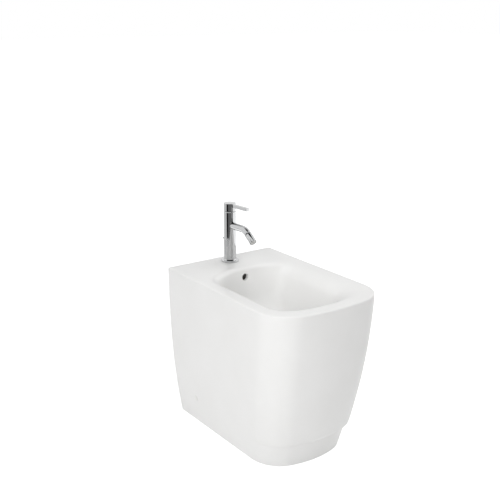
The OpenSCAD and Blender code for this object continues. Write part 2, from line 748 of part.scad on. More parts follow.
module cartridge_housing() color(nylon) translate([0, tap_y, 0]) difference() {
    union() {
        translate([0, 0, fixed_disc_z])
            cylinder(r = cartridge_bore_r - 0.2, h = housing_neck_z - fixed_disc_z);
        translate([0, 0, housing_neck_z - cut])
            cylinder(r = housing_neck_r, h = housing_top - housing_neck_z + cut);
    }
    translate([0, 0, fixed_disc_z - cut])
        cylinder(r = disc_r + touch, h = fixed_disc_t + cut + touch);
    translate([0, 0, fixed_disc_z])
        cylinder(r = rotor_flange_r + 0.2, h = rotor_z + rotor_flange_t + slip - fixed_disc_z);
    translate([0, 0, fixed_disc_z]) cylinder(r = rotor_r + run, h = 40);
}

module cartridge_rotor() color(nylon) difference() {
    translate([0, tap_y, rotor_z]) union() {
        cylinder(r = rotor_r, h = housing_top - slip - rotor_z);
        cylinder(r = rotor_flange_r, h = rotor_flange_t);
    }
    at_pivot() {
        translate([-stem_w / 2 - 0.2, -4.7, -10]) cube([stem_w + 0.4, 9.4, 30]);
        rotate([0, 90, 0]) cylinder(d = pin_d + 2 * touch, h = 2 * rotor_r + 2 * cut, center = true);
    }
}

module rotor_pin() color(steel) at_pivot() rotate([0, 90, 0])
    cylinder(d = pin_d, h = 2 * rotor_r - 1.6, center = true);

module lever_stem() color(steel) at_pivot() rotate([stem_tilt, 0, 0]) difference() {
    union() {
        translate([-stem_w / 2, -stem_w / 2, -3]) cube([stem_w, stem_w, stem_top + 3]);
        translate([0, 0, stem_ball_z - pivot_z]) cylinder(r = 1.6, h = 5);
        translate([0, 0, stem_ball_z - pivot_z]) sphere(r = stem_ball_r);
    }
    rotate([0, 90, 0]) cylinder(d = pin_d + 2 * run, h = 2 * stem_w, center = true);
}

dome_r = sqrt(tap_r * tap_r + pivot_down * pivot_down);
dome_hole_r = 8.8;
dome_thread_l = 9;      // how far the dome nut is screwed into the tap's body
module dome_nut() color(chrome) difference() {
    union() {
        at_pivot() intersection() {
            sphere(r = dome_r);
            translate([-tap_d, -tap_d, pivot_down]) cube([2 * tap_d, 2 * tap_d, dome_r]);
        }
        translate([0, tap_y, tap_top - dome_thread_l])
            cylinder(r = cartridge_bore_r - run, h = dome_thread_l + cut);
    }
    translate([0, tap_y, tap_top - dome_thread_l - cut])
        cylinder(r = housing_neck_r + 0.2, h = housing_top - tap_top + dome_thread_l + cut);
    translate([0, tap_y, tap_top - dome_thread_l]) cylinder(r = dome_hole_r, h = 40);
}

// ----------------------------------------------------------- lever head and bar
lever_up = head_h - 6;
spigot_d = 5.6;
lever_hole_z = 9.5;     // from the tap's axis to the end of the hole for the bar's spigot
grub_d = 4;
grub_z = 25;
// the grub screw bears on the back of the stem
grub_y = stem_w / 2 / cos(stem_tilt) - grub_z * tan(stem_tilt) + 0.35;

// Puts its children on the lever bar's axis, with +Z out along the bar
module at_lever() {
    translate([0, tap_y, tap_top + lever_up]) rotate([90 - lever_rise, 0, 0]) children();
}

module lever_head() color(chrome) difference() {
    translate([0, tap_y, tap_top]) rotate_extrude() polygon([
        [0, 0], [tap_r, 0], [tap_r, head_h - 0.8], [tap_r - 0.8, head_h], [0, head_h]]);
    at_pivot() {
        sphere(r = dome_r + head_gap);
        rotate([stem_tilt, 0, 0]) translate([-stem_w / 2 - touch, -stem_w / 2 - touch, 0])
            cube([stem_w + 2 * touch, stem_w + 2 * touch, stem_top + 0.4]);
        translate([0, grub_y, grub_z]) rotate([-90, 0, 0])
            cylinder(d = grub_d + 2 * touch, h = tap_d);
    }
    at_lever() translate([0, 0, lever_hole_z]) cylinder(d = spigot_d + 2 * touch, h = tap_r);
}

module lever_bar() color(chrome) difference() {
    at_lever() union() {
        translate([-lever_w / 2, -lever_t / 2, lever_hole_z + 2])
            cube([lever_w, lever_t, lever_l - lever_hole_z - 2]);
        translate([0, 0, lever_hole_z + 0.2]) cylinder(d = spigot_d, h = tap_r);
    }
    difference() {
        translate([0, tap_y, tap_top]) cylinder(r = tap_r + touch, h = 2 * head_h);
        at_lever() cylinder(d = spigot_d, h = 2 * tap_r);
    }
}

module grub_screw() color(steel) at_pivot() translate([0, grub_y, grub_z]) rotate([-90, 0, 0])
    difference() {
        cylinder(d = grub_d, h = 8);
        translate([0, 0, 5]) cylinder(d = 2.2, h = 4, $fn = 6);
    }

// ------------------------------------------------------------- lift rod, linkage
knob_h = 6;
knob_along = knob_up / cos(rod_lean);
pivot_y = drain_y + 30;
pivot_ball_z = basin_floor_z - 54;
pivot_ball_r = pivot_ball_d / 2;
pivot_rest = 6.2;           // the pivot rod's outer end hangs this many degrees low, plug open
strap_w = 12;
strap_below = 12;       // how far the strap goes past the pivot rod's hole
strap_above = 10;       // and past the clamp screw's
strap_t = 1.6;
clamp_half = 5;
strap_hole_d = rod_d + 2.2;

// Where the pivot rod crosses the strap, along the pivot rod and along the lift rod
rod_up = [sin(rod_lean), cos(rod_lean)];
rod_back = [cos(rod_lean), -sin(rod_lean)];
pivot_out = [cos(pivot_rest), -sin(pivot_rest)];
pivot_from_rod = [pivot_y - tap_y - rod_in_deck, pivot_ball_z - body_h];
strap_y = clamp_half + strap_t / 2;
cross_out = (strap_y - pivot_from_rod * rod_back) / (pivot_out * rod_back);
cross_down = (pivot_from_rod + cross_out * pivot_out) * rod_up;
rod_low = cross_down + 22;
clamp_mid = cross_down + 50;
lifted = cross_out * pivot_out + rod_travel * rod_up;
pivot_swing = pivot_rest + atan2(lifted.y, lifted.x);

module lift_rod() color(chrome) at_rod() translate([0, 0, rod_low])
    cylinder(d = rod_d, h = knob_along - rod_low);

module lift_knob() color(chrome) at_rod() translate([0, 0, knob_along - knob_h / 2]) difference() {
    rotate_extrude() polygon([
        [0, 0], [knob_d / 2 - 0.6, 0], [knob_d / 2, 0.6], [knob_d / 2, knob_h - 1],
        [knob_d / 2 - 1.2, knob_h], [0, knob_h]]);
    translate([0, 0, -cut]) cylinder(d = rod_d + 2 * touch, h = knob_h / 2 + cut + touch);
}

module rod_clamp() color(brass) at_rod() translate([0, 0, clamp_mid]) difference() {
    translate([-7, -clamp_half, -6]) cube([14, 2 * clamp_half, 12]);
    translate([0, 0, -7]) cylinder(d = rod_d + 2 * touch, h = 14);
    rotate([-90, 0, 0]) cylinder(d = 4 + 2 * touch, h = 10);
}

module clamp_screw() color(steel) at_rod() translate([0, 0, clamp_mid]) rotate([-90, 0, 0]) difference() {
    union() {
        translate([0, 0, rod_d / 2 + touch]) cylinder(d = 4, h = clamp_half + strap_t - rod_d / 2);
        translate([0, 0, clamp_half + strap_t + touch]) cylinder(d = 7.6, h = 2.6);
    }
    translate([-3, -0.5, clamp_half + strap_t + 1.4]) cube([6, 1, 4]);
}

module rod_strap() color(steel) at_rod() difference() {
    translate([-strap_w / 2, clamp_half, cross_down - strap_below])
        cube([strap_w, strap_t, clamp_mid + strap_above - cross_down + strap_below]);
    translate([0, clamp_half - cut, cross_down]) rotate([-90, 0, 0])
        cylinder(d = strap_hole_d, h = strap_t + 2 * cut);
    translate([0, clamp_half - cut, clamp_mid]) rotate([-90, 0, 0])
        cylinder(d = 4.2, h = strap_t + 2 * cut);
}

// Puts its children at the pivot ball, with +Z out along the pivot rod at rest
module at_pivot_ball() {
    translate([0, pivot_y, pivot_ball_z]) rotate([-90 - pivot_rest, 0, 0]) children();
}

pivot_rod_in = pivot_y - drain_y + 2.5;     // from the ball in to the rod's inner end
module pivot_rod() color(chrome) at_pivot_ball() {
    translate([0, 0, -pivot_rod_in]) cylinder(d = rod_d, h = pivot_rod_in + cross_out + 18);
    sphere(r = pivot_ball_r);
}

port_bore_r = pivot_ball_r + 3;
port_r = port_bore_r + 3;
port_step = 7;      // from the ball's middle in to the port's step
port_end = 6;       // and out to its mouth

// Puts its children at the pivot ball, with +Z straight out along the waste's side port
module at_port() {
    translate([0, pivot_y, pivot_ball_z]) rotate([-90, 0, 0]) children();
}

// Two half rings, one each side of the ball
seat_halves = [[-port_step, -0.2], [0.2, port_end]];
module pivot_seat() color(nylon) at_port() for (half = seat_halves) difference() {
    translate([0, 0, half[0]]) cylinder(r = port_bore_r - touch, h = half[1] - half[0]);
    sphere(r = pivot_ball_r + run);
    translate([0, 0, half[0] - cut]) cylinder(r = rod_d / 2 + 1.9, h = 20);
}

nut_thread_r = port_r + run;
module pivot_nut() color(chrome) at_port() difference() {
    translate([0, 0, 1]) hex_nut(2 * port_r + 6, rod_d + 6, port_end + 3);
    cylinder(r = nut_thread_r, h = port_end + touch);
}

// -------------------------------------------------------------------- waste
waste_r = waste_d / 2;
waste_seat_z = basin_floor_z - waste_recess + 1;
inner_tube_r = waste_r - 2.4;
waste_bore_r = inner_tube_r - 2.5;
inner_tube_low = basin_floor_z - 36;
under_z = basin_floor_z - wall;
window_z = basin_floor_z - 7;
window_d = 6;
waste_rim_t = 1.4;      // the flange's straight edge, and the taper above it
waste_rim_taper = 1.2;
waste_top = waste_seat_z + waste_rim_t + waste_rim_taper;
tail_r = 19;
tail_bore_r = pipe_d / 2 - pipe_wall;
tail_top = basin_floor_z - 72;
tail_low = basin_floor_z - 88;

// Overflow windows through the waste's tubes, one of them facing the duct
module windows() {
    for (turn = [0 : 90 : 270])
        rotate([0, 0, turn + 90]) translate([0, 0, window_z]) rotate([0, 90, 0])
            cylinder(d = window_d, h = 2 * waste_r);
}

module waste_flange() color(chrome) translate([0, drain_y, 0]) difference() {
    union() {
        translate([0, 0, waste_seat_z]) cylinder(d = waste_flange_d, h = waste_rim_t);
        translate([0, 0, waste_seat_z + waste_rim_t])
            cylinder(d1 = waste_flange_d, d2 = waste_flange_d - 4, h = waste_rim_taper);
        translate([0, 0, inner_tube_low])
            cylinder(r = inner_tube_r, h = waste_seat_z - inner_tube_low + cut);
    }
    translate([0, 0, inner_tube_low - cut])
        cylinder(r = waste_bore_r, h = waste_top - inner_tube_low + 2 * cut);
    translate([0, 0, waste_top - 1.5]) cylinder(d = plug_d + 1.6, h = 5);
    windows();
}

module waste_upper_gasket() color(rubber)
    translate([0, drain_y, basin_floor_z - waste_recess]) ring(waste_flange_d - 2, waste_hole_d, 1);

module waste_body() color(brass) difference() {
    union() {
        translate([0, drain_y, tail_top]) cylinder(r = waste_r, h = basin_floor_z - 3.4 - tail_top);
        translate([0, drain_y, tail_low]) cylinder(r = tail_r, h = tail_top - tail_low + cut);
        translate([0, drain_y, pivot_ball_z]) rotate([-90, 0, 0])
            cylinder(r = port_r, h = pivot_y + port_end - drain_y);
    }
    translate([0, drain_y, inner_tube_low - touch])
        cylinder(r = inner_tube_r + touch, h = waste_seat_z - inner_tube_low);
    translate([0, drain_y, tail_top + 6]) cylinder(r = waste_bore_r, h = waste_seat_z - tail_top);
    translate([0, drain_y, tail_low - cut]) cylinder(r = tail_bore_r, h = inner_tube_low - tail_low);
    at_port() translate([0, 0, -port_step]) cylinder(r = port_bore_r, h = 30);
    at_port() translate([0, 0, drain_y - pivot_y]) cylinder(r = rod_d / 2 + 3, h = 40);
    translate([0, drain_y, 0]) windows();
}

waste_gasket_t = 4;
back_nut_t = 8;
module waste_lower_gasket() color(rubber)
    translate([0, drain_y, under_z - waste_gasket_t])
        ring(waste_flange_d - 2, waste_d + 2 * touch, waste_gasket_t);
module waste_back_nut() color(brass)
    translate([0, drain_y, under_z - waste_gasket_t - back_nut_t]) difference() {
        cylinder(d = waste_flange_d, h = back_nut_t, $fn = 8);
        translate([0, 0, -cut]) cylinder(r = waste_r + run, h = back_nut_t + 2 * cut);
    }

// --------------------------------------------------------------------- plug
// The plug rests on the pivot rod's inner end, and drops as that end sinks
plug_drop = (pivot_y - drain_y) * (tan(pivot_rest) + tan(pivot_swing - pivot_rest));
plug_low = pivot_ball_z + pivot_rod_in * tan(pivot_rest) + rod_d / 2 / cos(pivot_rest) + slip;
cap_z = waste_top - 1.5 + slip + plug_drop;
neck_h = 7;
vane_h = 24;
vane_r = waste_bore_r - slip;
plug_neck_r = waste_bore_r - 2;
seal_r = 1.3;
seal_z = cap_z - neck_h / 2;

module plug() color(chrome) translate([0, drain_y, 0]) difference() {
    union() {
        translate([0, 0, cap_z]) rotate_extrude() polygon([
            [0, 0], [plug_d / 2 - 0.5, 0], [plug_d / 2, 0.5], [plug_d / 2, 2],
            [plug_d / 2 - 3, 3.2], [0, 3.8]]);
        translate([0, 0, cap_z - neck_h]) cylinder(r = plug_neck_r, h = neck_h + 0.5);
        translate([0, 0, plug_low]) cylinder(d = 6, h = cap_z - plug_low);
        for (turn = [45, 135]) rotate([0, 0, turn])
            translate([-vane_r, -1, cap_z - neck_h - vane_h]) cube([2 * vane_r, 2, vane_h + 0.5]);
    }
    translate([0, 0, seal_z - seal_r]) ring(3 * plug_d, 2 * (plug_neck_r - 1), 2 * seal_r);
}

module plug_seal() color(rubber) translate([0, drain_y, seal_z])
    rotate_extrude() translate([plug_neck_r - 1 + seal_r + touch, 0]) circle(r = seal_r);

// --------------------------------------------------------------------- trap
outlet_z = basin_floor_z - outlet_down;
pipe_r = pipe_d / 2;
cup_r = cup_d / 2;
trap_top = outlet_z + 26;
trap_low = outlet_z - 22;
collar_r = tail_r;
trap_neck_r = cup_r - 1.6;
trap_wall = 2.4;
trap_collar_h = 12;     // height of the collar that guides the inlet tube
side_tube_end = cup_r + 24;
outlet_start = cup_r + 4;
inlet_below = 65;       // how far the inlet tube dips below the outlet's axis
grips = 12;             // finger grips round the two plain nuts
grip_r = 1.6;

// Grooves round a nut of radius r
module grip_cuts(r) {
    for (i = [0 : grips - 1]) rotate([0, 0, i * 360 / grips]) translate([r + grip_r / 2, 0, -cut])
        cylinder(r = grip_r, h = 24);
}

top_nut_r = collar_r + 3.2;
module trap_top_nut() color(chrome) translate([0, drain_y, tail_low - 7]) difference() {
    cylinder(r = top_nut_r, h = 18);
    translate([0, 0, 3]) cylinder(r = collar_r + run, h = 20);
    translate([0, 0, -cut]) cylinder(r = pipe_r + slip / 3, h = 10);
    grip_cuts(top_nut_r);
}

module trap_inlet() color(chrome) translate([0, drain_y, 0]) difference() {
    union() {
        translate([0, 0, outlet_z - inlet_below])
            cylinder(r = pipe_r, h = tail_low - outlet_z + inlet_below);
        translate([0, 0, tail_low - 4]) cylinder(r = collar_r, h = 4);
    }
    translate([0, 0, outlet_z - inlet_below - cut]) cylinder(r = tail_bore_r, h = body_h);
}

module trap_body() color(chrome) translate([0, drain_y, 0]) difference() {
    union() {
        translate([0, 0, trap_low]) cylinder(r = cup_r + 2, h = trap_top - trap_low);
        translate([0, 0, trap_top - cut]) cylinder(r = pipe_r + 3.5, h = trap_collar_h + cut);
        translate([0, 0, outlet_z]) rotate([-90, 0, 0])
            cylinder(r = pipe_r + trap_wall, h = side_tube_end);
    }
    translate([0, 0, trap_low - cut])
        cylinder(r = trap_neck_r + touch, h = trap_top - trap_low - 4);
    translate([0, 0, trap_low]) cylinder(r = pipe_r + run, h = 90);
    translate([0, 0, outlet_z]) rotate([-90, 0, 0]) cylinder(r = tail_bore_r, h = 100);
    translate([0, outlet_start, outlet_z]) rotate([-90, 0, 0]) cylinder(r = pipe_r + run, h = 100);
}

cup_top = trap_low + 10;
cup_low = outlet_z - cup_down;
module trap_cup() color(chrome) translate([0, drain_y, 0]) difference() {
    union() {
        translate([0, 0, cup_low + 5]) cylinder(r = cup_r, h = trap_low - cup_low - 5 - touch);
        translate([0, 0, cup_low]) cylinder(r1 = cup_r - 5, r2 = cup_r, h = 5);
        translate([0, 0, trap_low - cut]) cylinder(r = trap_neck_r, h = cup_top - trap_low + cut);
        translate([0, 0, cup_low - 7]) cylinder(r = 11, h = 8, $fn = 6);
    }
    translate([0, 0, cup_low + 3]) cylinder(r = trap_neck_r - trap_wall, h = cup_top - cup_low);
}

outlet_nut_r = pipe_r + trap_wall + 3.4;
outlet_nut_on = 12;     // how far the nut is screwed over the side tube
module trap_outlet_nut() color(chrome)
    translate([0, drain_y + side_tube_end - outlet_nut_on, outlet_z]) rotate([-90, 0, 0])
        difference() {
            cylinder(r = outlet_nut_r, h = outlet_nut_on + 4);
            translate([0, 0, -cut])
                cylinder(r = pipe_r + trap_wall + run, h = outlet_nut_on + cut + touch);
            cylinder(r = pipe_r + run, h = 20);
            grip_cuts(outlet_nut_r);
        }

outlet_pipe_y = drain_y + outlet_start + touch;
module outlet_pipe() color(chrome) translate([0, outlet_pipe_y, outlet_z]) rotate([-90, 0, 0])
    ring(pipe_d, 2 * tail_bore_r, wall_y - outlet_pipe_y);

ceramic_rim();
ceramic_basin();
ceramic_skirt();
floor_bracket_left();
floor_bracket_right();
side_screws();
cover_caps();
mixer_body();
base_flange();
deck_gasket();
clamp_washer_rubber();
clamp_washer_steel();
mounting_stud();
stud_nut();
spout();
swivel_ball();
swivel_seat_ring();
aerator_housing();
aerator_insert();
cartridge_seal();
cartridge_housing();
fixed_disc();
sliding_disc();
cartridge_rotor();
rotor_pin();
lever_stem();
dome_nut();
lever_head();
lever_bar();
grub_screw();
lift_rod();
lift_knob();
rod_clamp();
clamp_screw();
rod_strap();
pivot_rod();
pivot_seat();
pivot_nut();
waste_flange();
waste_upper_gasket();
waste_body();
waste_lower_gasket();
waste_back_nut();
plug();
plug_seal();
trap_top_nut();
trap_inlet();
trap_body();
trap_cup();
trap_outlet_nut();
outlet_pipe();
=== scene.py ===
# Floor-standing bidet in glazed china, with a chromed single-lever mixer and a pop-up waste.
# Blender's metres, in the object's own frame: +Z is up, the wall is at +Y, the user at -Y.
import math
import bpy
from mathutils import Matrix, Vector


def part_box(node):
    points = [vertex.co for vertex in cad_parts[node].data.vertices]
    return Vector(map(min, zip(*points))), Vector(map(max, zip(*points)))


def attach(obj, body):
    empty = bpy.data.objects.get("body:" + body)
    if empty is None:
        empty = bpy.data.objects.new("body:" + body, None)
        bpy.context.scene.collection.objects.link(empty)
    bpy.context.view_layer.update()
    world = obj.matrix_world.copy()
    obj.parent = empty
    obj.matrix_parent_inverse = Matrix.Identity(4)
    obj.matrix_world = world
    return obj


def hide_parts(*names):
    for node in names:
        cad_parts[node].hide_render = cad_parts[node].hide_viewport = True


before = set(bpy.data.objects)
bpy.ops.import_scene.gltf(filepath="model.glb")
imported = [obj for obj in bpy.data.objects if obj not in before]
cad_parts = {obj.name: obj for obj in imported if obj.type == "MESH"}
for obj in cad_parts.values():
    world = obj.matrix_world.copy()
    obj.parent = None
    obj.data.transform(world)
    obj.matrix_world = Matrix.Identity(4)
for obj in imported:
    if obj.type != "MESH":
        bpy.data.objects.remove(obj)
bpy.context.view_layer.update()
scene = bpy.context.scene
scene.view_settings.view_transform = "Standard"

# ---------------------------------------------------------------------------- camera
# A standing person's view from the front left, from a little over a metre up, through a
# long lens, so that the sides of the bidet stay nearly parallel.
CAMERA_PLACE = Vector((-1.23683, -1.64414, 1.14287))
CAMERA_TURN = math.radians(-35.13)
CAMERA_TILT = math.radians(16.5)
camera_data = bpy.data.cameras.new("camera")
camera_data.lens = 58.48
camera_data.sensor_width = 36.0
camera = bpy.data.objects.new("camera", camera_data)
scene.collection.objects.link(camera)
camera_back = Vector((math.sin(CAMERA_TURN) * math.cos(CAMERA_TILT),
                      -math.cos(CAMERA_TURN) * math.cos(CAMERA_TILT),
                      math.sin(CAMERA_TILT)))
camera.location = CAMERA_PLACE
camera.rotation_mode = "QUATERNION"
camera.rotation_quaternion = (-camera_back).to_track_quat("-Z", "Y")
scene.camera = camera

# ---------------------------------------------------------------------------- studio
# A white studio: a pale floor that meets a white surround, large soft lamps on the left, near
# the camera, overhead and on the right, and cards that only polished metal shows.
FLOOR_HALF = 30.0
FLOOR_COLOUR = (0.9, 0.9, 0.9, 1)
# the floor's own glow, up to FLOOR_NEAR from the middle; it grows to white at FLOOR_FAR
FLOOR_GLOW, FLOOR_NEAR, FLOOR_FAR = 0.68, 1.5, 6.0


def plain_material(name):
    """A new material and its shader."""
    material = bpy.data.materials.new(name)
    material.use_nodes = True
    return material, material.node_tree.nodes["Principled BSDF"]


def panel(name, width, height):
    """A flat rectangle in the plane z = 0, as an object."""
    mesh = bpy.data.meshes.new(name)
    x, y = width / 2, height / 2
    mesh.from_pydata([(-x, -y, 0), (x, -y, 0), (x, y, 0), (-x, y, 0)], [], [(0, 1, 2, 3)])
    made = bpy.data.objects.new(name, mesh)
    scene.collection.objects.link(made)
    return made


def seen_strength(tree, unseen, seen=1.0):
    """seen where the camera, a reflection or a view through glass meets it, else unseen."""
    path = tree.nodes.new("ShaderNodeLightPath")
    total = path.outputs["Is Camera Ray"]
    for ray in ("Is Glossy Ray", "Is Transmission Ray"):
        either = tree.nodes.new("ShaderNodeMath")
        either.operation = "MAXIMUM"
        tree.links.new(total, either.inputs[0])
        tree.links.new(path.outputs[ray], either.inputs[1])
        total = either.outputs[0]
    chosen = tree.nodes.new("ShaderNodeMapRange")
    chosen.inputs["To Min"].default_value = unseen
    chosen.inputs["To Max"].default_value = seen
    tree.links.new(total, chosen.inputs["Value"])
    return chosen.outputs["Result"]


WORLD_LIGHT = 0.28
world = bpy.data.worlds.new("white surround")
scene.world = world
world.use_nodes = True
world_shader = world.node_tree.nodes["Background"]
world_shader.inputs["Color"].default_value = (1, 1, 1, 1)
world.node_tree.links.new(seen_strength(world.node_tree, WORLD_LIGHT),
                          world_shader.inputs["Strength"])

floor = panel("floor", 2 * FLOOR_HALF, 2 * FLOOR_HALF)
floor_material, floor_shader = plain_material("pale floor")
floor_tree = floor_material.node_tree
floor_shader.inputs["Base Color"].default_value = FLOOR_COLOUR
floor_shader.inputs["Roughness"].default_value = 0.9
floor_shader.inputs["Specular IOR Level"].default_value = 0.0
floor_shader.inputs["Emission Color"].default_value = (1, 1, 1, 1)
floor_place = floor_tree.nodes.new("ShaderNodeNewGeometry")
floor_away = floor_tree.nodes.new("ShaderNodeVectorMath")
floor_away.operation = "LENGTH"
floor_tree.links.new(floor_place.outputs["Position"], floor_away.inputs[0])
floor_glow = floor_tree.nodes.new("ShaderNodeMapRange")
for limit, amount in (("From Min", FLOOR_NEAR), ("From Max", FLOOR_FAR), ("To Min", FLOOR_GLOW),
                      ("To Max", 1.0)):
    floor_glow.inputs[limit].default_value = amount
floor_tree.links.new(floor_away.outputs["Value"], floor_glow.inputs["Value"])
floor_seen = floor_tree.nodes.new("ShaderNodeMath")
floor_seen.operation = "MULTIPLY"
floor_tree.links.new(floor_glow.outputs["Result"], floor_seen.inputs[0])
floor_tree.links.new(seen_strength(floor_tree, 0.0), floor_seen.inputs[1])
floor_tree.links.new(floor_seen.outputs["Value"], floor_shader.inputs["Emission Strength"])
floor.data.materials.append(floor_material)

# name, place, side length, power in watts
LAMPS = [("lamp_left", (-3.0, -0.9, 1.9), 2.4, 31), ("lamp_top", (0.4, -0.2, 3.2), 2.4, 33),
         ("lamp_near", (-2.2, -2.2, 2.0), 2.4, 43), ("lamp_right", (3.2, 0.5, 1.7), 2.4, 24)]
LAMP_AIM = Vector((0, 0, 0.3))
for lamp_name, lamp_place, lamp_size, lamp_power in LAMPS:
    lamp_data = bpy.data.lights.new(lamp_name, "AREA")
    lamp_data.shape = "SQUARE"
    lamp_data.size = lamp_size
    lamp_data.energy = lamp_power
    lamp = bpy.data.objects.new(lamp_name, lamp_data)
    scene.collection.objects.link(lamp)
    lamp.location = lamp_place
    lamp.rotation_mode = "QUATERNION"
    lamp.rotation_quaternion = (LAMP_AIM - lamp.location).to_track_quat("-Z", "Y")
    lamp.visible_glossy = False


def studio_card(card, grey):
    """Stands a made mesh in the studio as a card of even grey that only polish reflects."""
    card_material, card_shader = plain_material(card.name)
    card_shader.inputs["Base Color"].default_value = (0, 0, 0, 1)
    card_shader.inputs["Roughness"].default_value = 1.0
    card_shader.inputs["Specular IOR Level"].default_value = 0.0
    card_shader.inputs["Emission Color"].default_value = (1, 1, 1, 1)
    card_shader.inputs["Emission Strength"].default_value = grey
    card.data.materials.append(card_material)
    for ray in ("camera", "diffuse", "shadow", "transmission", "volume_scatter"):
        setattr(card, "visible_" + ray, False)


# Curved cards round the tap: name, bearings in degrees to the right of the camera as the tap
# sees it, lowest and highest edge, grey
CARD_CENTRE = Vector((0, 0.2125, 0))
CARD_R = 1.5
CARDS = [("flag_black", -62, -31, 0.1, 0.5, 0.01), ("flag_dark", -31, 22, 0.1, 0.5, 0.17),
         ("flag_grey", 22, 60, 0.1, 0.5, 0.34), ("flag_low", -62, 60, 0.0, 0.1, 0.6),
         ("flag_high", -62, 60, 0.5, 1.6, 0.01), ("card_low", -180, -62, 0.0, 0.1, 0.7),
         ("card_edge", -180, -95, 0.1, 0.5, 0.88), ("card_left", -95, -62, 0.1, 0.5, 0.72),
         ("card_bright", 76, 138, 0.0, 1.6, 1.4)]
CARD_STEPS = 8
for card_name, card_from, card_to, card_low, card_high, card_grey in CARDS:
    places = []
    for i in range(CARD_STEPS + 1):
        bearing = math.radians(card_from + (card_to - card_from) * i / CARD_STEPS) + CAMERA_TURN
        along = CARD_CENTRE + CARD_R * Vector((math.sin(bearing), -math.cos(bearing), 0))
        places += [along + Vector((0, 0, card_low)), along + Vector((0, 0, card_high))]
    faces = [(2 * i, 2 * i + 2, 2 * i + 3, 2 * i + 1) for i in range(CARD_STEPS)]
    mesh = bpy.data.meshes.new(card_name)
    mesh.from_pydata(places, [], faces)
    card = bpy.data.objects.new(card_name, mesh)
    scene.collection.objects.link(card)
    studio_card(card, card_grey)
# a black card overhead, for the tops of the spout and the aerator
flag_top = panel("flag_top", 1.2, 1.15)
flag_top.location = (0.08, 0.3, 2.2)
flag_top.rotation_euler.z = CAMERA_TURN
studio_card(flag_top, 0.01)

# ---------------------------------------------------------------------- ceramic body
# One hollow casting of vitreous china: basin, tap deck, skirt and recessed plinth. It is dipped
# in white glaze, bare inside and under its foot, and stands on the floor against the wall.
MM = 0.001
BODY_W, BODY_L, BODY_H = 355.0, 525.0, 450.0
WALL = 11.0
SIDE_DRAW, SIDE_POWER = 34.3, 2.56
FRONT_DRAW, FRONT_POWER = 67.4, 1.56
CORNER_R, FRONT_BOW, EDGE_R = 94.0, 27.5, 5.0
BACK_CORNER_R, REAR_EDGE_R = 4.0, 2.0
# what changes from the rim down to the floor: the front bows more and its corners tighten, and
# each side draws in more from the back to the front
BOW_GAIN, CORNER_TIGHTER = 10.4, 4.0
TAPER_RIM, TAPER_GAIN = 0.7, 7.5
PLINTH_H, PLINTH_BACK, SKIRT_R, NOOK_R, FOOT_R = 70.8, 12.4, 8.0, 2.0, 1.5
RIM_W, DECK_L, BASIN_DEPTH = 22.0, 113.0, 150.0
REAR_ROLL_R, SIDE_ROLL_R, FRONT_ROLL_R = 12.0, 50.0, 60.0
SIDE_FLOOR_R, REAR_FLOOR_R, FRONT_FLOOR_R = 50.0, 80.0, 120.0
BACK_Y = BODY_L / 2
DRAIN_Y = BACK_Y - 255.0
TAP_Y = BACK_Y - 50.0
BASIN_FLOOR_Z = BODY_H - BASIN_DEPTH
BASIN_HALF_W, BASIN_REAR, BASIN_FRONT = BODY_W / 2 - RIM_W, BACK_Y - DECK_L, -BACK_Y + RIM_W
FLOOR_HALF_W, FLOOR_REAR, FLOOR_FRONT = 42.0, 45.0, 60.0
# the basin's outline at the rim, and what each of its values loses down to the floor
REAR_SAG, REAR_SAG_LOSS, REAR_CORNER_R, REAR_CORNER_LOSS = 40.0, 22.0, 45.0, 15.0
BOW_LOSS, NOSE_CORNER_LOSS = 5.0, 42.0
BOW_STEPS, REAR_STEPS, CORNER_STEPS, FLANK_STEPS = 13, 12, 26, 18


def half_end(half_width, sag, radius, corner_steps):
    """Half of a rounded end, from its middle round the corner to the side."""
    corner_y, turn, big = -radius, math.pi / 2, 0.0
    if sag > 0:
        big = (half_width ** 2 + sag ** 2) / (2 * sag)
        corner_y = math.sqrt((big - radius) ** 2 - (half_width - radius) ** 2) - big
        turn = math.atan2(corner_y + big, half_width - radius)
    points = []
    for i in range(BOW_STEPS + 1):
        angle = math.pi / 2 + (turn - math.pi / 2) * i / BOW_STEPS
        points.append((big * math.cos(angle), big * math.sin(angle) - big) if sag > 0
                      else (i / BOW_STEPS * (half_width - radius), 0.0))
    for i in range(1, corner_steps + 1):
        angle = turn * (1 - i / corner_steps)
        points.append((half_width - radius + radius * math.cos(angle),
                       corner_y + radius * math.sin(angle)))
    return points


def outline(half_width, rear, front, rear_sag, rear_r, front_sag, front_r, taper, z):
    """One closed outline at height z, from the rear middle round the +X side."""
    back = [(x, rear + y) for x, y in half_end(half_width, rear_sag, rear_r, REAR_STEPS)]
    nose = [(x, front - y) for x, y in half_end(half_width, front_sag, front_r, CORNER_STEPS)]
    (ax, ay), (bx, by) = back[-1], nose[-1]
    flank = [(ax + (bx - ax) * i / FLANK_STEPS, ay + (by - ay) * i / FLANK_STEPS)
             for i in range(1, FLANK_STEPS)]
    half = [(x * (1 - taper / half_width * (rear - y) / (rear - front)), y)
            for x, y in back + flank + nose[::-1]]
    return [(x, y, z) for x, y in half] + [(-x, y, z) for x, y in half[-2:0:-1]]


def half_width_at(z):
    """Half the body's width at height z, at its back."""
    return BODY_W / 2 - SIDE_DRAW * (1 - z / BODY_H) ** SIDE_POWER


def taper_at(z):
    """How far each side draws in from the back to the front, at height z."""
    return TAPER_RIM + TAPER_GAIN * (1 - z / BODY_H)


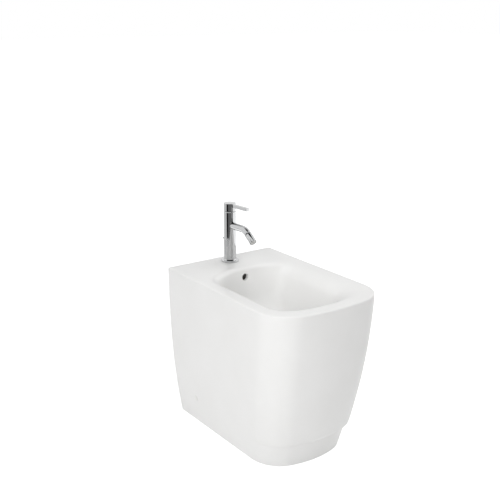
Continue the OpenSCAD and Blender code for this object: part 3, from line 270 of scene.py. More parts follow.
def outside(z, inset=0.0, front_inset=0.0, rear_inset=0.0):
    """The casting's outside at height z, drawn in all round by inset."""
    share = 1 - z / BODY_H
    front = -BACK_Y + FRONT_DRAW * share ** FRONT_POWER
    return outline(half_width_at(z) - inset, BACK_Y - rear_inset, front + inset + front_inset,
                   0, max(1.0, BACK_CORNER_R - inset), FRONT_BOW + BOW_GAIN * share,
                   CORNER_R - inset - CORNER_TIGHTER * share, taper_at(z), z)


def wall_in(depth, roll_r, cove_r, reach):
    """How far in a basin wall is at a depth: a roll at the rim, a straight wall and a cove."""
    rest = BASIN_DEPTH - roll_r - cove_r
    angle = math.atan2(rest, reach) + math.atan2(
        roll_r + cove_r, math.sqrt(reach ** 2 + rest ** 2 - (roll_r + cove_r) ** 2))
    roll, cove = roll_r * (1 - math.cos(angle)), cove_r * (1 - math.cos(angle))
    if depth <= roll:
        return math.sqrt(max(0.0, roll_r ** 2 - (roll_r - depth) ** 2))
    if depth >= BASIN_DEPTH - cove:
        return reach - math.sqrt(max(0.0, cove_r ** 2 - (cove_r - (BASIN_DEPTH - depth)) ** 2))
    return roll_r * math.sin(angle) + (depth - roll) / math.tan(angle)


def basin(depth, thick=0.0):
    """The basin at a depth below the rim: its glazed face, or its underside at a thickness."""
    share = depth / BASIN_DEPTH
    side = wall_in(depth, SIDE_ROLL_R - thick, SIDE_FLOOR_R + thick, BASIN_HALF_W - FLOOR_HALF_W)
    back = wall_in(depth, REAR_ROLL_R - thick, REAR_FLOOR_R + thick,
                   BASIN_REAR - DRAIN_Y - FLOOR_REAR)
    nose = wall_in(depth, FRONT_ROLL_R - thick, FRONT_FLOOR_R + thick,
                   DRAIN_Y - FLOOR_FRONT - BASIN_FRONT)
    return outline(BASIN_HALF_W - side, BASIN_REAR - back, BASIN_FRONT + nose,
                   REAR_SAG - REAR_SAG_LOSS * share, REAR_CORNER_R - REAR_CORNER_LOSS * share,
                   FRONT_BOW - BOW_LOSS * share, CORNER_R - RIM_W - NOSE_CORNER_LOSS * share,
                   0, BODY_H - thick - depth)


def eased(count):
    """Shares from 0 to 1 that crowd together at both ends."""
    return [(1 - math.cos(math.pi * i / count)) / 2 for i in range(count + 1)]


def quarter(count):
    """Angles from a right angle down to 0."""
    return [math.pi / 2 * (1 - i / count) for i in range(count + 1)]


def placed(name, points, faces, place):
    """An object with a mesh of points in millimetres, moved by place."""
    mesh = bpy.data.meshes.new(name)
    mesh.from_pydata([(place @ Vector(p)) * MM for p in points], [], faces)
    mesh.update()
    made = bpy.data.objects.new(name, mesh)
    scene.collection.objects.link(made)
    return made


def skinned(name, rings, place=Matrix.Identity(4)):
    """A closed mesh over rings of equally many points, with a flat face at each end."""
    n, count = len(rings[0]), len(rings)
    faces = [tuple(range(n - 1, -1, -1)), tuple((count - 1) * n + i for i in range(n))]
    for low in range(0, (count - 1) * n, n):
        faces += [(low + i, low + (i + 1) % n, low + n + (i + 1) % n, low + n + i)
                  for i in range(n)]
    return placed(name, [p for ring in rings for p in ring], faces, place)


def smooth(piece, crease=35):
    """Smooth shading, with sharp edges where faces meet at more than crease degrees."""
    piece.data.polygons.foreach_set("use_smooth", [True] * len(piece.data.polygons))
    piece.data.set_sharp_from_angle(angle=math.radians(crease))


def evened(piece):
    """Keeps a long bright face straight in its shading, right up to a small round beside it."""
    even = piece.modifiers.new("even shading", "WEIGHTED_NORMAL")
    even.keep_sharp = True


def with_rounds(corners, steps=5):
    """A profile through (radius, height, round) corners, each eased by its own radius."""
    points = []
    for i, (r, z, rounding) in enumerate(corners):
        here = Vector((r, z))
        if rounding <= 0:
            points.append(here)
            continue
        to_last = (Vector(corners[i - 1][:2]) - here).normalized()
        to_next = (Vector(corners[(i + 1) % len(corners)][:2]) - here).normalized()
        half = math.acos(max(-1.0, min(1.0, to_last.dot(to_next)))) / 2
        centre = here + (to_last + to_next).normalized() * rounding / math.sin(half)
        start = here + to_last * rounding / math.tan(half) - centre
        end = here + to_next * rounding / math.tan(half) - centre
        points += [centre + rounding * start.slerp(end, k / steps) for k in range(steps + 1)]
    return points


def turned(name, profile, place=Matrix.Identity(4), segments=96):
    """A solid turned about its own Z axis, from a (radius, height) profile in millimetres.
    A profile that starts off the axis closes on itself, as a ring does."""
    points, rows, faces = [], [], []
    for r, z in profile:
        if r < 1e-6:
            rows.append([len(points)] * segments)
            points.append((0, 0, z))
        else:
            rows.append([len(points) + i for i in range(segments)])
            points += [(r * math.cos(2 * math.pi * i / segments),
                        r * math.sin(2 * math.pi * i / segments), z) for i in range(segments)]
    for k in range(len(rows) if profile[0][0] > 1e-6 else len(rows) - 1):
        low, high = rows[k], rows[(k + 1) % len(rows)]
        for i in range(segments):
            j = (i + 1) % segments
            corners = list(dict.fromkeys((low[i], low[j], high[j], high[i])))
            if len(corners) > 2:
                faces.append(corners)
    return placed(name, points, faces, place)


def bored(piece, *cutters):
    """Cuts each cutter out of the piece, in order, and removes the cutters."""
    for cutter in cutters:
        cut = piece.modifiers.new("cut", "BOOLEAN")
        cut.operation = "DIFFERENCE"
        cut.solver = "EXACT"
        cut.object = cutter
    bpy.context.view_layer.update()
    graph = bpy.context.evaluated_depsgraph_get()
    done = bpy.data.meshes.new_from_object(piece.evaluated_get(graph))
    piece.modifiers.clear()
    piece.data = done
    for cutter in cutters:
        bpy.data.objects.remove(cutter)
    return piece


def shift(x, y, z):
    return Matrix.Translation((x, y, z))


def tip(degrees):
    """A turn about X that leans +Z towards -Y."""
    return Matrix.Rotation(math.radians(degrees), 4, "X")


def uneven_group():
    """Soft blotches over a surface: two colours, a roughness between two limits and a height."""
    group = bpy.data.node_groups.new("uneven surface", "ShaderNodeTree")
    for socket, kind in (("Colour", "Color"), ("Second Colour", "Color"), ("Scale", "Float"),
                         ("Smoothest", "Float"), ("Roughest", "Float")):
        group.interface.new_socket(socket, in_out="INPUT", socket_type="NodeSocket" + kind)
    for socket, kind in (("Colour", "Color"), ("Roughness", "Float"), ("Height", "Float")):
        group.interface.new_socket(socket, in_out="OUTPUT", socket_type="NodeSocket" + kind)
    add, link = group.nodes.new, group.links.new
    given, out = add("NodeGroupInput"), add("NodeGroupOutput")
    where = add("ShaderNodeTexCoord")
    blotch = add("ShaderNodeTexNoise")
    blotch.inputs["Detail"].default_value = 3.0
    link(where.outputs["Object"], blotch.inputs["Vector"])
    link(given.outputs["Scale"], blotch.inputs["Scale"])
    spread = add("ShaderNodeMapRange")
    spread.inputs["From Min"].default_value = 0.3
    spread.inputs["From Max"].default_value = 0.7
    link(blotch.outputs["Fac"], spread.inputs["Value"])
    mixed = add("ShaderNodeMix")
    mixed.data_type = "RGBA"
    link(spread.outputs["Result"], mixed.inputs[0])
    link(given.outputs["Colour"], mixed.inputs[6])
    link(given.outputs["Second Colour"], mixed.inputs[7])
    rough = add("ShaderNodeMapRange")
    link(spread.outputs["Result"], rough.inputs["Value"])
    link(given.outputs["Smoothest"], rough.inputs["To Min"])
    link(given.outputs["Roughest"], rough.inputs["To Max"])
    link(mixed.outputs[2], out.inputs["Colour"])
    link(rough.outputs["Result"], out.inputs["Roughness"])
    link(blotch.outputs["Fac"], out.inputs["Height"])
    return group


UNEVEN = uneven_group()


def surface(name, colour, second, scale, smoothest, roughest, bump, bump_mm, metallic=0.0):
    """A material with an uneven surface. bump is its strength, and bump_mm its height."""
    material, shader = plain_material(name)
    tree = material.node_tree
    shader.inputs["Metallic"].default_value = metallic
    uneven = tree.nodes.new("ShaderNodeGroup")
    uneven.node_tree = UNEVEN
    uneven.inputs["Colour"].default_value = (*colour, 1)
    uneven.inputs["Second Colour"].default_value = (*second, 1)
    uneven.inputs["Scale"].default_value = scale
    uneven.inputs["Smoothest"].default_value = smoothest
    uneven.inputs["Roughest"].default_value = roughest
    raised = tree.nodes.new("ShaderNodeBump")
    raised.inputs["Strength"].default_value = bump
    raised.inputs["Distance"].default_value = bump_mm * MM
    tree.links.new(uneven.outputs["Colour"], shader.inputs["Base Color"])
    tree.links.new(uneven.outputs["Roughness"], shader.inputs["Roughness"])
    tree.links.new(uneven.outputs["Height"], raised.inputs["Height"])
    tree.links.new(raised.outputs["Normal"], shader.inputs["Normal"])
    return material


glaze = surface("white glaze", (0.87, 0.868, 0.86), (0.85, 0.848, 0.838), 9.0, 0.3, 0.36, 0.35, 0.6)
glaze_shader = glaze.node_tree.nodes["Principled BSDF"]
glaze_shader.inputs["Specular IOR Level"].default_value = 0.2
glaze_shader.inputs["Coat Weight"].default_value = 0.15
glaze_shader.inputs["Coat Roughness"].default_value = 0.12
bare_china = surface("bare china", (0.78, 0.76, 0.72), (0.7, 0.675, 0.63), 140.0, 0.75, 0.95, 0.6, 0.4)

basin_rings = [basin(s * BASIN_DEPTH) for s in reversed(eased(56))]
rim_rings = [outside(BODY_H - EDGE_R * (1 - math.sin(a)), EDGE_R * (1 - math.cos(a)), 0,
                     REAR_EDGE_R * (1 - math.cos(a))) for a in quarter(7)]
side_rings = [outside(z) for z in (430, 410, 390, 370, 350, 330, 310, 290, 270, 250, 230, 210,
                                   190, 170, 150, 132, 116, 102, 90)]
skirt_rings = [outside(PLINTH_H + SKIRT_R * (1 - math.cos(a)), 0, SKIRT_R * (1 - math.sin(a)))
               for a in quarter(8)]
nook_rings = [outside(PLINTH_H - NOOK_R * (1 - math.sin(a)), 0,
                      PLINTH_BACK - NOOK_R * (1 - math.cos(a))) for a in quarter(4)]
plinth_rings = [outside(z, 0, PLINTH_BACK) for z in (56, 44, 32, 20, 10, 4)]
foot_rings = [outside(FOOT_R * (1 - math.cos(a)), FOOT_R * (1 - math.sin(a)), PLINTH_BACK,
                      FOOT_R * (1 - math.sin(a))) for a in quarter(4)]
# the hollow follows the plinth's step, and leaves it over this height above the step
HOLLOW_TOP, HOLLOW_EASE = BODY_H - WALL, 60.0
hollow_rings = []
for hollow_share in (0, 0.09, 0.18, 0.28, 0.36, 0.45, 0.55, 0.65, 0.75, 0.85, 0.93, 1):
    hollow_z = hollow_share * HOLLOW_TOP
    above_step = max(0.0, hollow_z - PLINTH_H - WALL)
    following = PLINTH_BACK * max(0.0, 1 - above_step / HOLLOW_EASE)
    hollow_rings.append(outside(hollow_z, WALL, following, WALL))
under_rings = [basin(s * BASIN_DEPTH, WALL) for s in eased(30)]
glazed_rings = (basin_rings + rim_rings + side_rings + skirt_rings + nook_rings
                + plinth_rings + foot_rings)
ceramic = skinned("ceramic_body", glazed_rings + hollow_rings + under_rings)
ceramic.data.materials.append(glaze)
ceramic.data.materials.append(bare_china)
glazed_count = len(glazed_rings) * len(glazed_rings[0])
for face in ceramic.data.polygons:
    face.material_index = int(any(v >= glazed_count for v in face.vertices))

# the tap hole, and the waste hole with the recess for its flange
TAP_HOLE_R, WASTE_HOLE_R, RECESS_R, RECESS_DEEP = 17.5, 23.0, 33.0, 2.5
tap_cut_low, tap_cut_top = HOLLOW_TOP - 2, BODY_H + 2
tap_hole = turned("cut", [(0, tap_cut_low), (TAP_HOLE_R, tap_cut_low), (TAP_HOLE_R, tap_cut_top),
                          (0, tap_cut_top)], shift(0, TAP_Y, 0))
recess_z = BASIN_FLOOR_Z - RECESS_DEEP
waste_cut_low, waste_cut_top, waste_cut_r = BASIN_FLOOR_Z - WALL - 3, BASIN_FLOOR_Z + 4, RECESS_R + 5
waste_hole = turned("cut", [(0, waste_cut_low)] + with_rounds(
    [(WASTE_HOLE_R, waste_cut_low, 0), (WASTE_HOLE_R, recess_z, 0), (RECESS_R, recess_z, 1.0),
     (RECESS_R, BASIN_FLOOR_Z, 1.5), (waste_cut_r, BASIN_FLOOR_Z, 0)])
    + [(waste_cut_r, waste_cut_top), (0, waste_cut_top)], shift(0, DRAIN_Y, 0))

# the overflow hole, with its glazed lip, through the basin's rear wall and square to it
OVERFLOW_R, OVERFLOW_Z, OVERFLOW_DEEP = 10.0, BODY_H - 28.5, 23.0
LIP_R, LIP_OUT, LIP_CUT_R, LIP_CUT_TOP = 1.2, 0.3, 14.0, 9.0
lip_y = basin(BODY_H - OVERFLOW_Z)[0][1]
wall_lean = math.degrees(math.atan(lip_y - basin(BODY_H - OVERFLOW_Z + 1)[0][1]))
overflow_hole = turned("cut", [(0, -OVERFLOW_DEEP)] + with_rounds(
    [(OVERFLOW_R, -OVERFLOW_DEEP, 0), (OVERFLOW_R, LIP_OUT, LIP_R), (LIP_CUT_R, LIP_OUT, 0)])
    + [(LIP_CUT_R, LIP_CUT_TOP), (0, LIP_CUT_TOP)],
    shift(0, lip_y, OVERFLOW_Z) @ tip(90 - wall_lean))

# the service opening in the back, under the deck, with eased edges
OPENING_W, OPENING_TOP, OPENING_R, OPENING_EASE = 236.0, BODY_H - 62.0, 30.0, 2.5
OPENING_PAST = 6.0      # how far the cutter stands out of the china


def opening(grow):
    """The service opening's outline, grown all round."""
    x, top, r = OPENING_W / 2 + grow, OPENING_TOP + grow, OPENING_R + grow
    arch = [(x - r + r * math.cos(a), top - r + r * math.sin(a))
            for a in [math.pi / 2 * i / 10 for i in range(11)]]
    return ([(x, -OPENING_PAST)] + arch + [(-ax, az) for ax, az in reversed(arch)]
            + [(-x, -OPENING_PAST)])


opening_steps = [(BACK_Y + OPENING_PAST, OPENING_EASE)]
opening_steps += [(BACK_Y - OPENING_EASE * (1 - math.cos(a)), OPENING_EASE * (1 - math.sin(a)))
                  for a in reversed(quarter(5))]
opening_steps.append((BACK_Y - WALL - OPENING_PAST, 0))
service_opening = skinned("cut", [[(x, y, z) for x, z in opening(grow)]
                                  for y, grow in opening_steps])

# the side screw holes, with a spot face for each cover cap
SIDE_SCREW_PLACE = (155.665, 159.5, 82.0)
SIDE_LEAN = 8.114
SCREW_HOLE_R, SCREW_HOLE_DEEP, SPOT_R, SPOT_CUT_TOP = 4.0, 27.0, 8.0, 8.0
CAP_R, CAP_SUNK, PEG_R, PEG_END = 7.5, 1.2, 1.9, -3.0


def at_side_screw(side):
    """A side screw's axis, with +Z out of the ceramic. side is 1 or -1."""
    x, y, z = SIDE_SCREW_PLACE
    return shift(side * x, y, z) @ Matrix.Rotation(side * math.radians(90 + SIDE_LEAN), 4, "Y")


screw_holes = [turned("cut", [
    (0, -SCREW_HOLE_DEEP), (SCREW_HOLE_R, -SCREW_HOLE_DEEP), (SCREW_HOLE_R, -CAP_SUNK),
    (SPOT_R, -CAP_SUNK), (SPOT_R, SPOT_CUT_TOP), (0, SPOT_CUT_TOP)], at_side_screw(side))
    for side in (1, -1)]
bored(ceramic, tap_hole, waste_hole, overflow_hole, service_opening, *screw_holes)
smooth(ceramic)
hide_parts("ceramic_rim", "ceramic_basin", "ceramic_skirt")
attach(ceramic, "bidet")

# --------------------------------------------------------------------- overflow duct
# The overflow's way down is cast with the body: a chamber behind the hole, and a pipe that
# follows the back of the basin to the waste. It is bare china, like the rest of the inside,
# but the chamber's inner faces are coloured near-black as painted shade for the dark hole.
# painted shade: a near-black clay colour that stands in for the shade inside the overflow chamber
chamber_painted_shade = surface("clay with painted shade", (0.1, 0.095, 0.088), (0.065, 0.06, 0.056),
                   90.0, 0.6, 0.85, 0.5, 0.3)
DUCT_R, DUCT_END_R, CHAMBER_R, CHAMBER_IN_R = 9.0, 6.5, 14.0, 11.5
CHAMBER_DEEP, CHAMBER_IN_DEEP, CHAMBER_HALF_L = 20.0, 17.0, 14.0
DUCT_Y, DUCT_END_Y, DUCT_END_Z = 148.5, DRAIN_Y + 36.5, 293.0
DUCT_STEPS, DUCT_NARROWING_STEPS = 24, 8
COVE_Y, COVE_Z = DRAIN_Y + FLOOR_REAR, BASIN_FLOOR_Z + REAR_FLOOR_R


def pipe(name, path, radii, segments=32):
    """A solid pipe in the plane x = 0, along (y, z) points, with a radius at each."""
    rings = []
    for i, (y, z) in enumerate(path):
        (ay, az), (by, bz) = path[max(0, i - 1)], path[min(len(path) - 1, i + 1)]
        along = Vector((0, by - ay, bz - az)).normalized()
        across = along.cross(Vector((1, 0, 0)))
        rings.append([Vector((0, y, z)) + radii[i] * (
            math.cos(2 * math.pi * k / segments) * Vector((1, 0, 0))
            + math.sin(2 * math.pi * k / segments) * across) for k in range(segments)])
    return skinned(name, rings)


def joined(name, *pieces):
    """One object from several, each a closed shell of its own."""
    points, faces, marks = [], [], []
    for piece in pieces:
        start = len(points)
        points += [v.co / MM for v in piece.data.vertices]
        for face in piece.data.polygons:
            faces.append([start + v for v in face.vertices])
            marks.append(face.material_index)
    made = placed(name, points, faces, Matrix.Identity(4))
    made.data.polygons.foreach_set("material_index", marks)
    for piece in pieces:
        bpy.data.objects.remove(piece)
    return made


duct_path, duct_radii = [], []
duct_path_r = DUCT_Y - COVE_Y
duct_low = (COVE_Z - DUCT_END_Z) / duct_path_r
for i in range(DUCT_STEPS + 1):
    angle = math.asin(duct_low) * i / DUCT_STEPS
    duct_path.append((COVE_Y + duct_path_r * math.cos(angle),
                      COVE_Z - duct_path_r * math.sin(angle)))
    narrowed = max(0.0, i - DUCT_STEPS + DUCT_NARROWING_STEPS) / DUCT_NARROWING_STEPS
    duct_radii.append(DUCT_R - (DUCT_R - DUCT_END_R) * narrowed)
duct_top = (DUCT_Y, OVERFLOW_Z - CHAMBER_IN_R - 1)
duct_pipe = pipe("duct", [duct_top] + duct_path + [(DUCT_END_Y, DUCT_END_Z)],
                 [DUCT_R] + duct_radii + [DUCT_END_R])
chamber = turned("chamber", with_rounds([
    (0, -CHAMBER_DEEP, 0), (CHAMBER_R, -CHAMBER_DEEP, 3), (CHAMBER_R, 0, 0), (CHAMBER_IN_R, 0, 0),
    (CHAMBER_IN_R, -CHAMBER_IN_DEEP, 2), (0, -CHAMBER_IN_DEEP, 0)]),
    shift(0, DUCT_Y - WALL, OVERFLOW_Z) @ tip(90), 48)
overflow_duct = joined("overflow_duct", duct_pipe, chamber)
overflow_duct.data.materials.append(bare_china)
overflow_duct.data.materials.append(chamber_painted_shade)
# faces that look into the chamber get the painted shade; the rest stay bare china
for face in overflow_duct.data.polygons:
    inward = Vector((0, DUCT_Y - WALL / 2, OVERFLOW_Z)) * MM - face.center
    across = math.hypot(inward.x, inward.z)
    in_chamber = across < (CHAMBER_IN_R + 0.5) * MM and abs(inward.y) < CHAMBER_HALF_L * MM
    face.material_index = int(in_chamber and inward.dot(face.normal) > 0)
smooth(overflow_duct, 50)
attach(overflow_duct, "bidet")

# ------------------------------------------------------------------- floor fixings
# Two moulded brackets are screwed to the floor inside the foot. A screw through each side of
# the china holds it to its bracket, and a push-in cap of white plastic covers the screw.
nylon = surface("white nylon", (0.84, 0.84, 0.82), (0.8, 0.8, 0.775), 60.0, 0.36, 0.46, 0.3, 0.05)
steel = surface("zinc plated steel", (0.55, 0.555, 0.56), (0.44, 0.445, 0.45),
                90.0, 0.28, 0.46, 0.25, 0.05, metallic=1.0)


def finish(material, *names):
    """Gives carried-over nodes their material."""
    for name in names:
        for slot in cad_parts[name].material_slots:
            slot.material = material


def fitted(piece, material, body, slot, *replaced, crease=35):
    """Dresses a new piece, hides what it stands for and fixes it to its body."""
    if not piece.data.materials:
        piece.data.materials.append(material)
    smooth(piece, crease)
    if replaced:
        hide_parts(*replaced)
    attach(piece, body)
    return piece


finish(nylon, "floor_bracket_left", "floor_bracket_right")
finish(steel, "side_screws")
for cap_name, side in (("cover_cap_right", 1), ("cover_cap_left", -1)):
    cap = turned(cap_name, with_rounds([
        (0, PEG_END, 0), (PEG_R, PEG_END, 0.4), (PEG_R, -CAP_SUNK, 0), (CAP_R, -CAP_SUNK, 0.2),
        (CAP_R, 0.35, 0.3), (CAP_R - 1.4, 0.6, 0.8), (0, 0.68, 0)]), at_side_screw(side), 64)
    fitted(cap, nylon, "bidet", "nylon", "cover_caps")

# ------------------------------------------------------------------------ tap body
# A turned and chromed brass column, with a separate flange that covers the hole in the deck.
# A rubber ring lies under the flange; a stud, a horseshoe plate and a long nut pull it down.
TAP_R = 17.5
FLANGE_R, FLANGE_TOP = 25.5, BODY_H + 4.6
TAP_TOP = BODY_H + 146.0
FOOT_FLARE, FOOT_FLARE_H = 1.1, 3.2     # the column's foot widens a little onto the flange
SPIGOT_R, SPIGOT_Z = 15.9, BODY_H - 4.0
FLANGE_HOLE_R, FLANGE_LOW = SPIGOT_R + 0.05, BODY_H + 0.1
SPOUT_Z, SPOUT_RISE = BODY_H + 107.0, 1.5
ROD_LEAN, ROD_Y, ROD_R = 14.0, TAP_Y + 11.5, 2.5
CHANNEL_R, CHANNEL_LOW, CHANNEL_TOP = ROD_R + 0.15, -20.0, 40.0
SOCKET_X, SOCKET_Y, SOCKET_R, SOCKET_DEEP = 7.2, TAP_Y + 1.0, 4.5, 14.0
chrome = surface("polished chrome", (0.6, 0.605, 0.61), (0.56, 0.565, 0.57),
                 25.0, 0.035, 0.06, 0.1, 0.02, metallic=1.0)
rubber = surface("black rubber", (0.025, 0.025, 0.026), (0.045, 0.045, 0.046),
                 120.0, 0.6, 0.85, 0.4, 0.08)
brass = surface("turned brass", (0.72, 0.52, 0.24), (0.58, 0.4, 0.17),
                50.0, 0.2, 0.38, 0.2, 0.04, metallic=1.0)


def at_rod(along=0.0):
    """The lift rod's axis, with +Z up along it."""
    return shift(0, ROD_Y, BODY_H) @ tip(-ROD_LEAN) @ shift(0, 0, along)


def on_flare(share, rounding=0.0):
    """A corner on the foot's flare, at a share of its height."""
    return TAP_R + FOOT_FLARE * (1 - share), FLANGE_TOP + FOOT_FLARE_H * share, rounding


# the corners between the flare's ends keep its shading straight
column = turned("mixer_body", with_rounds([
    (0, SPIGOT_Z, 0), (SPIGOT_R, SPIGOT_Z, 0.6), (SPIGOT_R, FLANGE_TOP, 0), on_flare(0, 0.2),
    on_flare(0.15), on_flare(0.88), on_flare(1, 0.8), (TAP_R, FLANGE_TOP + FOOT_FLARE_H + 0.6, 0),
    (TAP_R, TAP_TOP, 0.4), (0, TAP_TOP, 0)]), shift(0, TAP_Y, 0), 128)
hose_sockets = [turned("cut", [(0, SPIGOT_Z - 2), (SOCKET_R, SPIGOT_Z - 2),
                               (SOCKET_R, SPIGOT_Z + SOCKET_DEEP), (0, SPIGOT_Z + SOCKET_DEEP)],
                       shift(side * SOCKET_X, SOCKET_Y, 0), 48) for side in (1, -1)]
rod_channel = turned("cut", [(0, CHANNEL_LOW), (CHANNEL_R, CHANNEL_LOW), (CHANNEL_R, CHANNEL_TOP),
                             (0, CHANNEL_TOP)], at_rod(), 48)
bored(column, *hose_sockets, rod_channel)
fitted(column, chrome, "bidet", "chrome", "mixer_body")

flange = turned("base_flange", with_rounds([
    (FLANGE_HOLE_R, FLANGE_LOW, 0), (FLANGE_R, FLANGE_LOW, 0.2), (FLANGE_R, FLANGE_TOP, 0.2),
    (FLANGE_HOLE_R, FLANGE_TOP, 0)]), shift(0, TAP_Y, 0), 128)
fitted(flange, chrome, "bidet", "chrome", "base_flange")
for piece in (column, flange):
    evened(piece)
finish(rubber, "deck_gasket", "clamp_washer_rubber")
finish(steel, "clamp_washer_steel")


def threaded(low, high, radius, pitch=1.25, deep=0.45):
    """A profile up the outside of a thread, as a run of V grooves."""
    turns = int((high - low) / pitch)
    points = [(radius - deep, low)]
    for i in range(turns):
        z = low + i * pitch
        points += [(radius, z + 0.35 * pitch), (radius, z + 0.65 * pitch),
                   (radius - deep, z + pitch)]
    return points + [(radius - deep, high)]


STUD_R, STUD_TIP_R, STUD_PLAIN_R, STUD_Y, STUD_IN = 4.0, 3.2, 3.98, TAP_Y - 10.6, 10.0
stud_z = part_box("mounting_stud")[0].z / MM
stud_top = SPIGOT_Z + STUD_IN
stud = turned("mounting_stud", [(0, stud_z), (STUD_TIP_R, stud_z)]
              + threaded(stud_z + 0.6, SPIGOT_Z, STUD_R)
              + [(STUD_PLAIN_R, SPIGOT_Z + 0.1), (STUD_PLAIN_R, stud_top), (0, stud_top)],
              shift(0, STUD_Y, 0), 40)
fitted(stud, steel, "bidet", "steel", "mounting_stud")
finish(brass, "stud_nut")

# --------------------------------------------------------------------------- spout
# A bent and chromed tube, brazed into the side of the column. It runs nearly level, turns
# down through a short bend, and ends square, with a waterway right through it.
SPOUT_R, SPOUT_BORE_R = 10.0, 6.25
SPOUT_RUN, BEND_R, BEND_TURN, SPOUT_END = 62.0, 40.0, 37.0, 4.0
SPOUT_START, SPOUT_BORE_START, MOUTH_BEVEL, TIP_EASE = 10.0, 20.0, 0.3, 0.5
BEND_STEPS = 32


def at_spout():
    """The spout's straight root, with +Z outwards along it."""
    return shift(0, TAP_Y, SPOUT_Z) @ tip(90 - SPOUT_RISE)


def spout_path(start, stop_short=0.0):
    """(y, z) stations along the spout's middle line, with the direction at each."""
    stations = [(0.0, start, 0.0), (0.0, SPOUT_RUN, 0.0)]
    for i in range(1, BEND_STEPS + 1):
        turn = math.radians(BEND_TURN) * i / BEND_STEPS
        stations.append((-BEND_R * (1 - math.cos(turn)), SPOUT_RUN + BEND_R * math.sin(turn), turn))
    y, z, turn = stations[-1]
    reach = SPOUT_END - stop_short
    stations.append((y - reach * math.sin(turn), z + reach * math.cos(turn), turn))
    return stations


def spout_ring(station, radius, segments=64):
    """A ring across the spout's middle line at a station."""
    y, z, turn = station
    return [(radius * math.cos(a), y + radius * math.sin(a) * math.cos(turn),
             z + radius * math.sin(a) * math.sin(turn))
            for a in [2 * math.pi * k / segments for k in range(segments)]]


def past_tip(radius, beyond, path):
    """A ring beyond the last station of a path, straight on."""
    y, z, turn = path[-1]
    return spout_ring((y - beyond * math.sin(turn), z + beyond * math.cos(turn), turn), radius)


outer_path = spout_path(SPOUT_START, TIP_EASE)
spout_rings = [spout_ring(station, SPOUT_R) for station in outer_path]
spout_rings += [past_tip(SPOUT_R - TIP_EASE * (1 - math.sin(a)), TIP_EASE * math.cos(a), outer_path)
                for a in quarter(4)[1:]]
spout_rings += [past_tip(SPOUT_BORE_R + MOUTH_BEVEL, TIP_EASE, outer_path)]
spout_rings += [spout_ring(station, SPOUT_BORE_R)
                for station in reversed(spout_path(SPOUT_BORE_START, MOUTH_BEVEL))]
spout = skinned("spout", spout_rings, at_spout())
fitted(spout, chrome, "bidet", "chrome", "spout")

# --------------------------------------------------------------- swivel and aerator
# A chromed brass ball on a neck plugs the spout's end. A nylon ring and the turned housing
# close round it, so the housing swivels; a white insert breaks the water into a soft stream.
AERATOR_R, AERATOR_BACK, AERATOR_FRONT = 10.3, -3.0, 25.0
BALL_R, CUP_R, CAVITY_END = 7.0, 7.05, 6.8
INSERT_R, INSERT_LOW, INSERT_TOP, INSERT_HOLE_R = 7.28, 16.4, 24.4, 7.3
# the housing clears the spout's end when it swivels both ways at once
SWIVEL, SWIVEL_GAP = math.radians(12), 0.3
SWIVEL_BOTH = math.acos(math.cos(SWIVEL) ** 2)
SWIVEL_OUT = AERATOR_R * math.sin(SWIVEL_BOTH) - AERATOR_BACK * math.cos(SWIVEL_BOTH) + SWIVEL_GAP
tip_y, tip_z, tip_turn = spout_path(SPOUT_START)[-1]


def at_swivel():
    """The middle of the ball, with +Z out along the spout's end."""
    return at_spout() @ shift(0, tip_y, tip_z) @ tip(math.degrees(tip_turn)) @ shift(0, 0, SWIVEL_OUT)


cup = [(math.sqrt(CUP_R ** 2 - z * z), z) for z in (2.9, 1.9, 0.9, 0, -1, -2, AERATOR_BACK)]
housing = turned("aerator_housing", cup[:-1] + with_rounds([
    (*cup[-1], 0), (AERATOR_R, AERATOR_BACK, 0.6), (AERATOR_R, AERATOR_FRONT, 0.8),
    (INSERT_HOLE_R, AERATOR_FRONT, 0.3), (INSERT_HOLE_R, CAVITY_END, 0),
    (BALL_R - 0.6, CAVITY_END, 0)]), at_swivel())
fitted(housing, chrome, "aerator", "chrome", "aerator_housing")

insert = turned("aerator_insert", with_rounds([
    (0, INSERT_LOW, 0), (INSERT_R, INSERT_LOW, 0.3), (INSERT_R, INSERT_TOP, 0.3),
    (INSERT_R - 1, INSERT_TOP, 0.2), (INSERT_R - 1.2, INSERT_TOP - 0.5, 0),
    (0, INSERT_TOP - 0.5, 0)]), at_swivel(), 64)
# six-sided jets in staggered rows
JET_STEP, JET_R, JETS_WITHIN = 1.5, 0.62, INSERT_R - 2
jet_low, jet_top = INSERT_TOP - 3, INSERT_TOP + 1
cells = []
for row in range(-3, 4):
    for place_in_row in range(-4, 5):
        x = (place_in_row + (row % 2) / 2) * JET_STEP
        y = row * JET_STEP * math.sqrt(3) / 2
        if math.hypot(x, y) < JETS_WITHIN:
            cells.append(turned("cell", [(0, jet_low), (JET_R, jet_low), (JET_R, jet_top),
                                         (0, jet_top)], at_swivel() @ shift(x, y, 0), 6))
bored(insert, joined("cells", *cells))
fitted(insert, nylon, "aerator", "nylon", "aerator_insert", crease=25)
finish(chrome, "swivel_ball")
finish(nylon, "swivel_seat_ring")

# ------------------------------------------------------------------------ cartridge
# The mixing cartridge is dropped into the top of the column: a nylon housing, two discs of
# polished alumina on a rubber seal, and a rotor with its pin. A chromed dome nut clamps it.
PIVOT_DOWN = 12.0       # the lever's pivot, below the top of the column
PIVOT_Z = TAP_TOP - PIVOT_DOWN
DOME_R = math.hypot(TAP_R, PIVOT_DOWN)
DOME_HOLE_R, SCREWED_R = 8.8, 14.4
alumina = surface("polished alumina", (0.86, 0.79, 0.68), (0.82, 0.74, 0.62),
                  80.0, 0.12, 0.22, 0.15, 0.03)
finish(nylon, "cartridge_housing", "cartridge_rotor")
finish(alumina, "fixed_disc", "sliding_disc")
finish(rubber, "cartridge_seal")
finish(steel, "rotor_pin", "lever_stem", "grub_screw")


def ball_arc(radius, from_r, to_r, steps):
    """(radius, height) points over a ball about the lever's pivot, as the profile goes in."""
    low, high = math.asin(from_r / radius), math.asin(to_r / radius)
    return [(radius * math.sin(low + (high - low) * i / steps),
             radius * math.cos(low + (high - low) * i / steps)) for i in range(steps + 1)]


